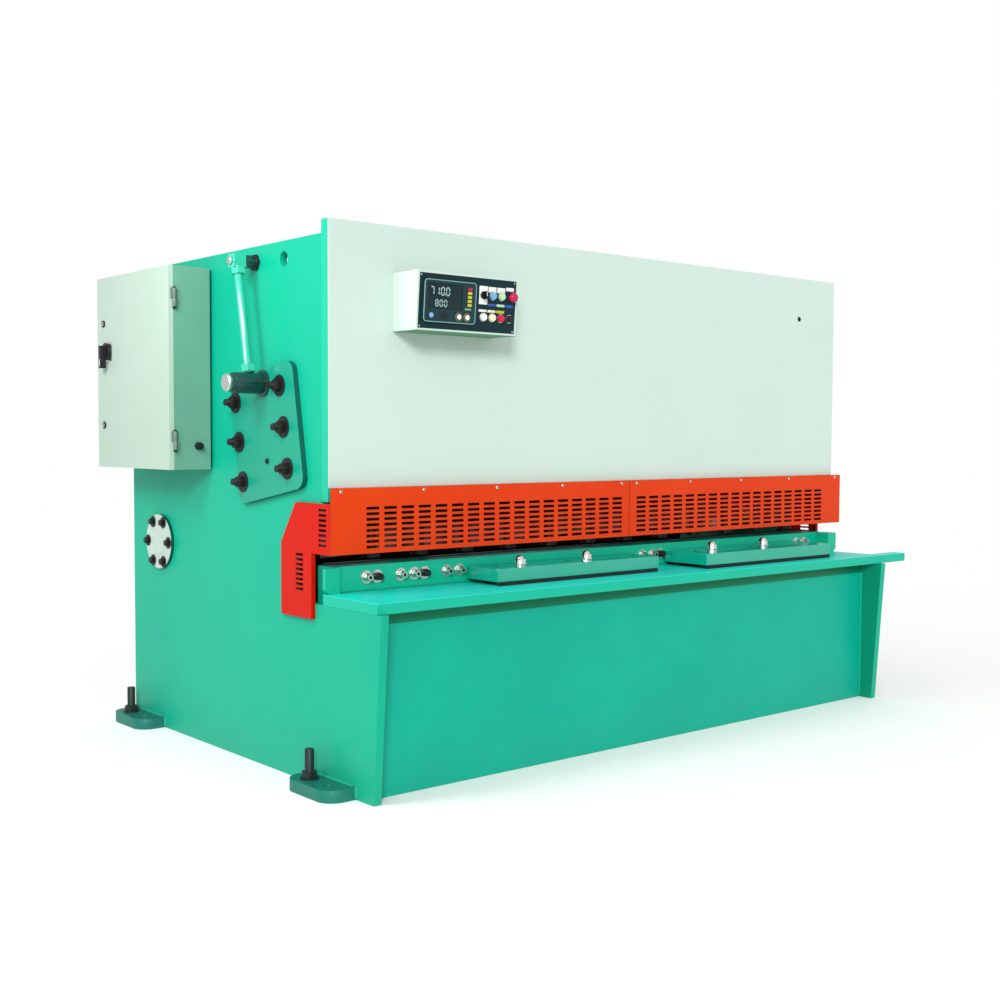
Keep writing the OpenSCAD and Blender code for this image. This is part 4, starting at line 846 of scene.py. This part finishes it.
class SHEAR_OT_table(bpy.types.Operator):
    """Blade adjusting bolts on the knife beam where no block hides it, dark discs of painted shade for the
    screws of the blocks, and black strips of painted shadow in the gap under the blocks
    """
    bl_idname = "shear.table"
    bl_label = "Table"

    def execute(self, context):
        flats = context.scene.shear_sizes.adjuster
        first, group, in_group, count, level = -1.154, 0.1935, (0.0, 0.043, 0.138), 13, 0.668
        washer_t, nut_t = 0.004, 0.012
        free = ((-INNER_X + 0.05, LEFT_BLOCK[0][0] - 0.012),
                (LEFT_BLOCK[1][0] + 0.02, RIGHT_BLOCK[0][0] - 0.02),
                (RIGHT_BLOCK[1][0] + 0.02, INNER_X - 0.08))
        places = first + (group * np.arange(count))[:, None] + np.array(in_group)
        washer = disc(flats * 0.92, washer_t, 28)
        shells = []
        for k, x in enumerate(places.ravel()):
            if any(a < x < b for a, b in free):
                key = "oxide" if k % 3 == 1 else "zinc"
                shells.append(put(washer, (x, BEAM_LO[1], level), "zinc", FRONT))
                shells.append(ring_nut((x, BEAM_LO[1] - washer_t, level), FRONT, flats, nut_t, key))
                tip = (x, BEAM_LO[1] - washer_t - nut_t, level)
                shells += socket_screw(tip, FRONT, flats * 0.62, key, 0.8)
        build("blade_adjusting_bolts", shells)
        # Black discs for the screw recesses, and black strips in the gap under each block's front: painted
        # shade
        recess_r, from_end, sunk = 0.0085, 0.060, 0.0005
        strip_t, strip_h, setback = 0.004, 0.0125, 0.001
        recess_shades, gap_shades = [], []
        for lo, hi in (LEFT_BLOCK, RIGHT_BLOCK):
            mid = (lo + hi) / 2
            for x in (lo[0] + from_end, mid[0], hi[0] - from_end):
                recess_shades.append(put(disc(recess_r, 0.0009), (x, mid[1], hi[2] - sunk), "gasket"))
            strip = flat_bar(hi[0] - lo[0] - 0.008, strip_h, 0.001, 0, strip_t, 2)
            at = (mid[0], lo[1] + strip_t + setback, TABLE_HI[2] + strip_h / 2 + 0.0002)
            gap_shades.append(put(strip, at, "gasket", FRONT))
        build("block_screw_recess_shades", recess_shades)
        build("block_gap_shade_strips", gap_shades)
        return {"FINISHED"}


class SHEAR_OT_guard(bpy.types.Operator):
    """Screws along the top of the finger guard and the lock of the front cover"""
    bl_idname = "shear.guard"
    bl_label = "Guard and cover screws"

    def execute(self, context):
        r = context.scene.shear_sizes.guard_screw
        below_top, columns = 0.011, (0.040, 0.345, 0.655, 0.971, 1.297)
        shells = []
        for x in columns:
            for side in (-1, 1):
                shells += pan_screw((side * x, GUARD_LO[1], GUARD_HI[2] - below_top), FRONT, r)
        build("guard_screws", shells)
        lock_x, lock_z, lock_r = 1.072, 1.636, 0.010
        at = (lock_x, COVER_LO[1], lock_z)
        barrel = revolved(((0, 0), (lock_r, 0), (lock_r, 0.002), (lock_r - 0.001, 0.003), (0, 0.003)), 28)
        # The lock's slot is a dark bar of painted shade
        slit_shade = flat_bar(0.0018, 0.008, 0.0008, 0.002, 0.0033)
        build("cover_lock", [put(barrel, at, "oxide", FRONT), put(slit_shade, at, "gasket", FRONT)])
        return {"FINISHED"}


def segment_bars(glyph, w, h, stroke):
    """Lit bars of a seven-segment glyph: outlines pointed at both ends, in a cell of w by h."""
    middles = {"a": (0, h / 2, 0), "g": (0, 0, 0), "d": (0, -h / 2, 0), "f": (-w / 2, h / 4, 1),
               "b": (w / 2, h / 4, 1), "e": (-w / 2, -h / 4, 1), "c": (w / 2, -h / 4, 1)}
    lit = {"0": "abcdef", "1": "bc", "7": "abc", "8": "abcdefg"}[glyph]
    bars = []
    for name in lit:
        x, y, upright = middles[name]
        half, s = (h / 4 if upright else w / 2) * 0.88, stroke / 2
        bar = np.array(((-half, 0), (s - half, s), (half - s, s), (half, 0), (half - s, -s), (s - half, -s)))
        bars.append((bar[:, ::-1] if upright else bar) + (x, y))
    return bars


class SHEAR_OT_controller(bpy.types.Operator):
    """Outline, window, figures and keys of the controller"""
    bl_idname = "shear.controller"
    bl_label = "Controller"

    def execute(self, context):
        case_lo, case_hi, case_w = np.array((0.022, 0.027)), np.array((0.238, 0.166)), 0.006
        mid_u, mid_v = (case_lo + case_hi) / 2
        wide, high = case_hi - case_lo - 0.006
        shells = [on_face(rim_bead(rounded(wide, high, 0.010), 0.0017), mid_u, mid_v, case_w, "ring")]
        pane_u, pane_v, pane_w, pane_h = 0.109, 0.1125, 0.140, 0.079
        shells.append(on_face(plate(pane_w, pane_h, 0.0006, 0.002), pane_u, pane_v, case_w - 0.002, "lcd"))
        lit_w, slim, stroke, advance = case_w - 0.0013, 0.52, 0.17, 0.88
        for text, left, level, tall in (("7100", 0.056, 0.128, 0.024), ("800", 0.076, 0.090, 0.020)):
            for k, glyph in enumerate(text):
                for bar in segment_bars(glyph, tall * slim, tall, tall * stroke):
                    lit = prism(bar, ((0, 1.0), (0.0005, 1.0)))
                    shells.append(on_face(lit, left + k * tall * advance, level, lit_w, "digit"))
        dot = plate(0.003, 0.003, 0.0005, 0.001)
        shells.append(on_face(dot, 0.056 + 2.5 * 0.024 * advance, 0.117, lit_w, "digit"))
        strip_u, strip_v, strip_step = 0.208, 0.090, 0.013
        strip = plate(0.0165, 0.0095, 0.0022, 0.002)
        for k, key in enumerate(("yellow", "yellow", "yellow", "yellow", "crimson")):
            shells.append(on_face(strip, strip_u, strip_v + k * strip_step, case_w + 0.0015, key))
        shells.append(on_face(plate(0.026, 0.006, 0.0008, 0.001), strip_u - 0.004, 0.0765, case_w, "ring"))
        key_v, collar_h = 0.050, 0.0028
        bore, rim = 0.0112, 0.0145
        collar = revolved(((bore, 0), (rim, 0), (rim, 0.0012), (0.0125, collar_h), (bore, collar_h)), 32)
        cap = revolved(((0, 0), (0.0085, 0), (0.0085, 0.0012), (0.0065, 0.0022), (0, 0.0024)), 32)
        for u, outer, centre in ((0.053, "bezel", "sky"), (0.108, "gasket", "gasket"),
                                 (0.167, "olive", "white"), (0.201, "olive", "white")):
            shells.append(on_face(collar, u, key_v, case_w, outer))
            shells.append(on_face(cap, u, key_v, case_w + 0.0029, centre))
        build("controller_dressing", shells)
        return {"FINISHED"}


class SHEAR_OT_buttons(bpy.types.Operator):
    """Legend plates, collars and coloured caps of the push buttons, and the screws of the control panel"""
    bl_idname = "shear.buttons"
    bl_label = "Buttons"

    def execute(self, context):
        panel_w, cap_w = -0.001, 0.0031
        low, top = BUTTON_V
        over, under, label, wide, tall, thin = top + 0.020, top - 0.030, low + 0.021, 0.034, 0.018, 0.008
        legends = (
            (0, top, 0.036, 0.060, "white"), (1, over, wide, tall, "white"), (2, over, wide, tall, "white"),
            (3, top + 0.026, wide, 0.012, "white"), (1, under, wide, thin, "blue"),
            (2, under, wide, thin, "green"), (3, under, wide, thin, "blue"), (0, label, wide, thin, "white"),
            (1, label, wide, thin, "cream"), (2, label, wide, 0.009, "yellow"))
        shells = []
        for column, v, w, h, key in legends:
            shells.append(on_face(plate(w, h, 0.0006, 0.0015), BUTTON_U[column], v, panel_w, key))
        r, lip, rise = 0.0113, 0.0006, 0.0072
        cap = revolved(((r, 0), (r + lip, 0.0003), (r + lip, rise), (r - lip, rise + 0.0016),
                        (r * 0.6, 0.0094), (0, 0.0096)), 36)
        for column, v, key in ((0, low, "white"), (1, low, "cream"), (2, low, "crimson"), (3, low, "abs"),
                               (1, top, "sky"), (2, top, "green")):
            shells.append(on_face(cap, BUTTON_U[column], v, cap_w, key))
        build("button_caps", shells)
        inset, width, screw = 0.014, BOX_HI[0] - BOX_LO[0], 0.0032
        shells = []
        for u in (inset, width - inset):
            for v in (inset, FACE_H - inset):
                for verts, faces, key in pan_screw((0, 0, 0), UP, screw):
                    shells.append(on_face((verts, faces), u, v, panel_w, key))
        build("panel_screws", shells)
        band = rim_bead(ngon(0.0155, 36), 0.0012)
        build("mushroom_band", [on_face(band, BUTTON_U[3], top, 0.020, "mushroom")], body="emergency_stop")
        mark = flat_bar(0.0022, 0.014, 0.0008, 0, 0.0005)
        pointer = on_face(mark, BUTTON_U[0], top + 0.004, 0.0190, "white")
        build("selector_mark", [pointer], body="selector_knob")
        return {"FINISHED"}


class SHEAR_OT_cabinet(bpy.types.Operator):
    """Gasket, lock inserts, switch plate and hinge caps of the switch cabinet"""
    bl_idname = "shear.cabinet"
    bl_label = "Cabinet"

    def execute(self, context):
        face_x, lock_y, lock_r = DOOR[0][0], (LOCKS[0][1] + LOCKS[1][1]) / 2, 0.013
        insert = revolved(((0, 0), (0.0088, 0), (0.0088, 0.0012), (0.0078, 0.0018), (0, 0.0018)), 28)
        # The keyway is a dark bar of painted shade
        keyway_shade = flat_bar(0.0022, 0.010, 0.0008, 0.001, 0.0021)
        shells = []
        for z in (LOCKS[0][2] + lock_r, LOCKS[1][2] - lock_r):
            shells.append(put(insert, (LOCKS[0][0], lock_y, z), "zinc", LEFT))
            shells.append(put(keyway_shade, (LOCKS[0][0], lock_y, z), "gasket", LEFT))
        build("lock_inserts", shells, body="cabinet_door")
        dial_r, grip_drop, flange = 0.032, 0.042, 0.011
        y, z = (SWITCH[0][1] + SWITCH[1][1]) / 2, SWITCH[1][2] - dial_r
        back_plate = plate(0.070, 0.070, 0.0004, 0.006)
        build("switch_plate", [put(back_plate, (face_x, y, z), "zinc", LEFT)], body="cabinet_door")
        rim = rim_bead(ngon(dial_r + 0.0005, 48), 0.0014)
        grip = flat_bar(0.0035, 0.026, 0.001, 0, 0.0006)
        shells = [put(rim, (face_x - flange, y, z), "abs", LEFT),
                  put(grip, (SWITCH[0][0], y, z - grip_drop), "white", LEFT)]
        build("switch_trim", shells, body="main_switch")
        bead_r, behind, margin, cabinet_w = 0.0011, 0.0179, 0.020, 0.600
        wide, high = DOOR[1][1] - DOOR[0][1] - margin, DOOR[1][2] - DOOR[0][2] - margin
        centre_y = (DOOR[1][1] + CABINET[1][1] - cabinet_w) / 2
        centre_z = (CABINET[0][2] + CABINET[1][2]) / 2
        gasket = put(rim_bead(rounded(wide, high, 0.012), bead_r), (face_x + behind, centre_y, centre_z),
                     "gasket", LEFT)
        build("door_gasket", [gasket], body="cabinet_door")
        hinge_x, hinge_y, half, knob_r, knob_h = -1.472, 0.171, 0.030, 0.0072, 0.006
        from_low, from_top, leaf_screws = 0.101, 0.114, (-0.022, -0.008)
        knob = revolved(((0, 0), (knob_r, 0), (knob_r, 0.002), (0.004, 0.005), (0, knob_h)), 24)
        shells = []
        for z in (DOOR[0][2] + from_low, DOOR[1][2] - from_top):
            shells.append(put(knob, (hinge_x, hinge_y, z - half - knob_h), "oxide"))
            shells.append(put(knob, (hinge_x, hinge_y, z + half + 0.0045), "oxide"))
            for dz in leaf_screws:
                shells += pan_screw((hinge_x + 0.006, hinge_y - 0.002, z + dz), FRONT, 0.0028, "oxide")
        build("hinge_caps", shells)
        return {"FINISHED"}


class SHEAR_OT_blade_bolts(bpy.types.Operator):
    """Screws and nuts of the two blades, and dark sheets of painted shade that close the throat behind the
    beam's ends
    """
    bl_idname = "shear.blade_bolts"
    bl_label = "Blade bolts"

    def execute(self, context):
        pitch, from_end, screw, nut = 0.150, 0.070, 0.014, 0.024
        rake, above = math.tan(math.radians(1.5)), 0.042
        lower_z = (LOWER_BLADE[0][2] + LOWER_BLADE[1][2]) / 2
        front, rear = [], []
        for x in np.arange(LOWER_BLADE[0][0] + from_end, LOWER_BLADE[1][0] - from_end + 0.001, pitch):
            upper_z = UPPER_BLADE[0][2] + above + (x - UPPER_BLADE[0][0]) * rake
            front += socket_screw((x, UPPER_BLADE[0][1], upper_z), FRONT, screw, head=0.08)
            rear += hex_bolt((x, BEAM_FACE[1][1], upper_z), BACK, nut)
            rear += socket_screw((x, LOWER_BLADE[1][1], lower_z), BACK, screw, head=0.03)
        # Dark sheets of painted shade behind the beam's ends
        wide, high, thick, gap = 0.160, 0.130, 0.004, 0.0015
        at = (-INNER_X + gap, BEAM_HI[1] + gap + wide / 2, BEAM_HI[2] - high / 2)
        shade_sheet = put(flat_bar(wide, high, 0.004, 0, thick), at, "phosphate", (1, 0, 0))
        both_ends("blade_end_shade_sheet", [shade_sheet])
        build("upper_blade_screws", front)
        build("blade_nuts", rear)
        return {"FINISHED"}


class SHEAR_OT_motor(bpy.types.Operator):
    """Cooling ribs, fan grille, flange bolts, cowl screws and terminal box screws of the pump motor"""
    bl_idname = "shear.motor"
    bl_label = "Pump motor"

    def execute(self, context):
        x, y = (MOTOR[0][0] + MOTOR[1][0]) / 2, (TANK[0][1] + TANK[1][1]) / 2
        low, high = MOTOR[0][2] + 0.022, MOTOR[1][2] - 0.078
        body_r, proud, thick, count, taper = 0.109, 0.016, 0.004, 32, 0.004
        box_side = -0.86
        rib = prism(rounded(thick, proud, thick / 3, 3), (
            (0, 0.9), (taper, 1.0), (high - low - taper, 1.0), (high - low, 0.9)))
        shells = []
        for a, dx, dy in round_about(count, body_r + proud / 2):
            c, s = math.cos(a), math.sin(a)
            if s > box_side:
                turned = rib[0] @ np.array(((s, -c, 0), (c, s, 0), (0, 0, 1)))
                shells.append((turned + np.array((x + dx, y + dy, low)), rib[1], "motor"))
        build("motor_ribs", shells)
        # The grille's holes are black discs of painted shade
        hole_shade, top, grille = disc(0.0055, 0.0007, 12), MOTOR[1][2], ((0.034, 10), (0.060, 18), (0.088, 26))
        shells = []
        for ring_r, n in grille:
            for a, dx, dy in round_about(n, ring_r):
                shells.append(put(hole_shade, (x + dx, y + dy, top), "gasket"))
        flange_ring, flange_t, cowl_r, below_top = 0.122, 0.018, 0.116, 0.030
        for a, dx, dy in round_about(4, flange_ring, math.pi / 4):
            shells += hex_bolt((x + dx, y + dy, MOTOR[0][2] + flange_t), UP, 0.018, turn=a)
        for a, dx, dy in round_about(3, cowl_r):
            shells += pan_screw((x + dx, y + dy, top - below_top), (dx, dy, 0), 0.004)
        lid_x, lid_z = (-0.038, 0.038), (0.112, 0.188)
        for dx in lid_x:
            for dz in lid_z:
                shells += pan_screw((x + dx, MOTOR[0][1], MOTOR[0][2] + dz), FRONT, 0.0035)
        build("motor_details", shells)
        return {"FINISHED"}


class SHEAR_OT_rear(bpy.types.Operator):
    """Tank breather, level gauge and clean-out cover, and the back gauge's bolts and stop strip"""
    bl_idname = "shear.rear"
    bl_label = "Rear details"

    def execute(self, context):
        breather = (0.250, 0.520, TANK[1][2])
        cap = revolved(((0, 0), (0.030, 0), (0.030, 0.012), (0.042, 0.016), (0.044, 0.024), (0.044, 0.050),
                        (0.038, 0.058), (0.020, 0.062), (0, 0.063)), 40)
        build("tank_breather", [put(cap, breather, "abs"), put(disc(0.050, 0.006, 40), breather, "zinc")])
        gauge, half, proud = (0.900, TANK[1][1], TANK[0][2] + 0.150), 0.062, 0.010
        tube = prism(rounded(0.016, 0.100, 0.006), ((0.009, 1.0), (0.013, 0.96)))
        shells = [put(plate(0.034, 0.150, proud, 0.008), gauge, "abs", BACK), put(tube, gauge, "lens", BACK)]
        for dz in (-half, half):
            shells += socket_screw((gauge[0], gauge[1] + proud, gauge[2] + dz), BACK, 0.008, "zinc", 0.6)
        build("tank_level_gauge", shells)
        hatch, lid_r, lid_t = (-0.850, TANK[1][1], TANK[0][2] + 0.145), 0.120, 0.012
        lid = revolved(((0, 0), (lid_r, 0), (lid_r, lid_t - 0.003), (lid_r - 0.003, lid_t), (0, lid_t)), 64)
        shells = [put(lid, hatch, "teal_in", BACK)]
        for a, dx, dz in round_about(8, 0.102):
            shells += hex_bolt((hatch[0] + dx, hatch[1] + lid_t, hatch[2] + dz), BACK, 0.013, turn=a)
        build("tank_clean_out_cover", shells)
        bracket_x, bolt_x, bolt_y, bolt_z = 0.820, 0.045, 0.040, 0.085
        shells = []
        for middle in (-bracket_x, bracket_x):
            for dx in (-bolt_x, bolt_x):
                at = (middle + dx, GAUGE[0][1] + bolt_y, GAUGE[0][2] + bolt_z)
                shells += hex_bolt(at, BACK, 0.017)
        build("gauge_bracket_bolts", shells)
        wide, high, thick, over = GAUGE_BAR[1][0] - GAUGE_BAR[0][0] - 0.04, 0.145, 0.008, 0.063
        at = (0, GAUGE_BAR[0][1], GAUGE_BAR[0][2] + over - high / 2)
        build("gauge_stop_strip", [put(flat_bar(wide, high, 0.004, 0, thick), at, "phosphate", FRONT)])
        return {"FINISHED"}


def placed(name, data, axes, at=(0, 0, 0)):
    """An object whose x, y and z run along the rows of axes, and whose middle is at the place given."""
    obj = bpy.data.objects.new(name, data)
    mat = np.eye(4)
    mat[:3, :3] = np.array(axes).T
    mat[:3, 3] = at
    obj.matrix_world = Matrix(mat.tolist())
    bpy.context.scene.collection.objects.link(obj)
    return obj


class SHEAR_OT_stage(bpy.types.Operator):
    """Floor, soft lights and the camera at the photograph's angle"""
    bl_idname = "shear.stage"
    bl_label = "Stage"

    def execute(self, context):
        scene = context.scene
        scene.view_settings.view_transform = "Standard"
        scene.view_settings.look = "None"
        # White room: it lights the machine a little less than it shows behind it
        lit, seen = 0.74, 1.0
        world = bpy.data.worlds.new("studio")
        world.use_nodes = True
        tree = world.node_tree
        tree.nodes.clear()
        ray = add_node(tree, "ShaderNodeLightPath")
        fill = add_node(tree, "ShaderNodeMapRange", {
            "Value": ray.outputs["Is Camera Ray"], "To Min": lit, "To Max": seen})
        sky = add_node(tree, "ShaderNodeBackground", {
            "Color": (1.0, 1.0, 1.0, 1.0), "Strength": fill.outputs["Result"]})
        end = add_node(tree, "ShaderNodeOutputWorld")
        tree.links.new(sky.outputs["Background"], end.inputs["Surface"])
        scene.world = world
        reach = 40
        corners = [(-reach, -reach, 0), (reach, -reach, 0), (reach, reach, 0), (-reach, reach, 0)]
        floor = bpy.data.meshes.new("studio_floor")
        floor.from_pydata(corners, [], [(0, 1, 2, 3)])
        floor.materials.append(floor_paint("pale_studio_floor"))
        ground = bpy.data.objects.new("studio_floor", floor)
        scene.collection.objects.link(ground)
        # Large soft lamp from the left front, and a small one that washes the top of the side
        key = bpy.data.lights.new("key", "SUN")
        key.energy, key.angle = 2.5, math.radians(16)
        placed("key", key, basis((-0.60, -0.72, 0.36)))
        wash = bpy.data.lights.new("wash", "AREA")
        wash.shape, wash.size, wash.energy = "SQUARE", 0.6, 22
        placed("wash", wash, basis((-1.28, -0.05, 0.75)), (-2.6, -0.5, 2.2)).visible_camera = False
        # Camera as solved from the outline: turned right of the y axis, then tilted and rolled
        cam = bpy.data.cameras.new("camera")
        cam.sensor_width, cam.lens = 36.0, 47.19
        eye_at = (-3.576, -4.077, 1.133)
        yaw, pitch, roll = (math.radians(v) for v in (40.252, -2.838, 0.228))
        level = math.cos(pitch)
        ahead = np.array((math.sin(yaw) * level, math.cos(yaw) * level, math.sin(pitch)))
        right = np.array((math.cos(yaw), -math.sin(yaw), 0.0))
        up = np.cross(right, ahead)
        x = math.cos(roll) * right + math.sin(roll) * up
        y = -math.sin(roll) * right + math.cos(roll) * up
        scene.camera = placed("camera", cam, (x, y, -ahead), eye_at)
        return {"FINISHED"}


class SHEAR_PT_panel(bpy.types.Panel):
    """Buttons for every group of parts, and the colours and sizes"""
    bl_label = "Swing beam shear"
    bl_idname = "SHEAR_PT_panel"
    bl_space_type = "VIEW_3D"
    bl_region_type = "UI"
    bl_category = "Shear"

    def draw(self, context):
        for op in OPERATORS:
            self.layout.operator(op.bl_idname)
        scene = context.scene
        for group, kind in ((scene.shear_colours, ShearColours), (scene.shear_sizes, ShearSizes)):
            for key in kind.__annotations__:
                self.layout.prop(group, key)


OPERATORS = (
    SHEAR_OT_paint, SHEAR_OT_side_fasteners, SHEAR_OT_pipework, SHEAR_OT_welds, SHEAR_OT_feet, SHEAR_OT_table,
    SHEAR_OT_guard, SHEAR_OT_controller, SHEAR_OT_buttons, SHEAR_OT_cabinet, SHEAR_OT_blade_bolts,
    SHEAR_OT_motor, SHEAR_OT_rear, SHEAR_OT_stage,
)
CLASSES = (ShearColours, ShearSizes, *OPERATORS, SHEAR_PT_panel)


def register():
    for cls in CLASSES:
        bpy.utils.register_class(cls)
    bpy.types.Scene.shear_colours = bpy.props.PointerProperty(type=ShearColours)
    bpy.types.Scene.shear_sizes = bpy.props.PointerProperty(type=ShearSizes)


def unregister():
    del bpy.types.Scene.shear_sizes
    del bpy.types.Scene.shear_colours
    for cls in reversed(CLASSES):
        bpy.utils.unregister_class(cls)


def main():
    register()
    for op in OPERATORS:
        group, name = op.bl_idname.split(".")
        if getattr(getattr(bpy.ops, group), name)() != {"FINISHED"}:
            raise RuntimeError(op.bl_idname + " did not finish")


if __name__ == "__main__":
    main()
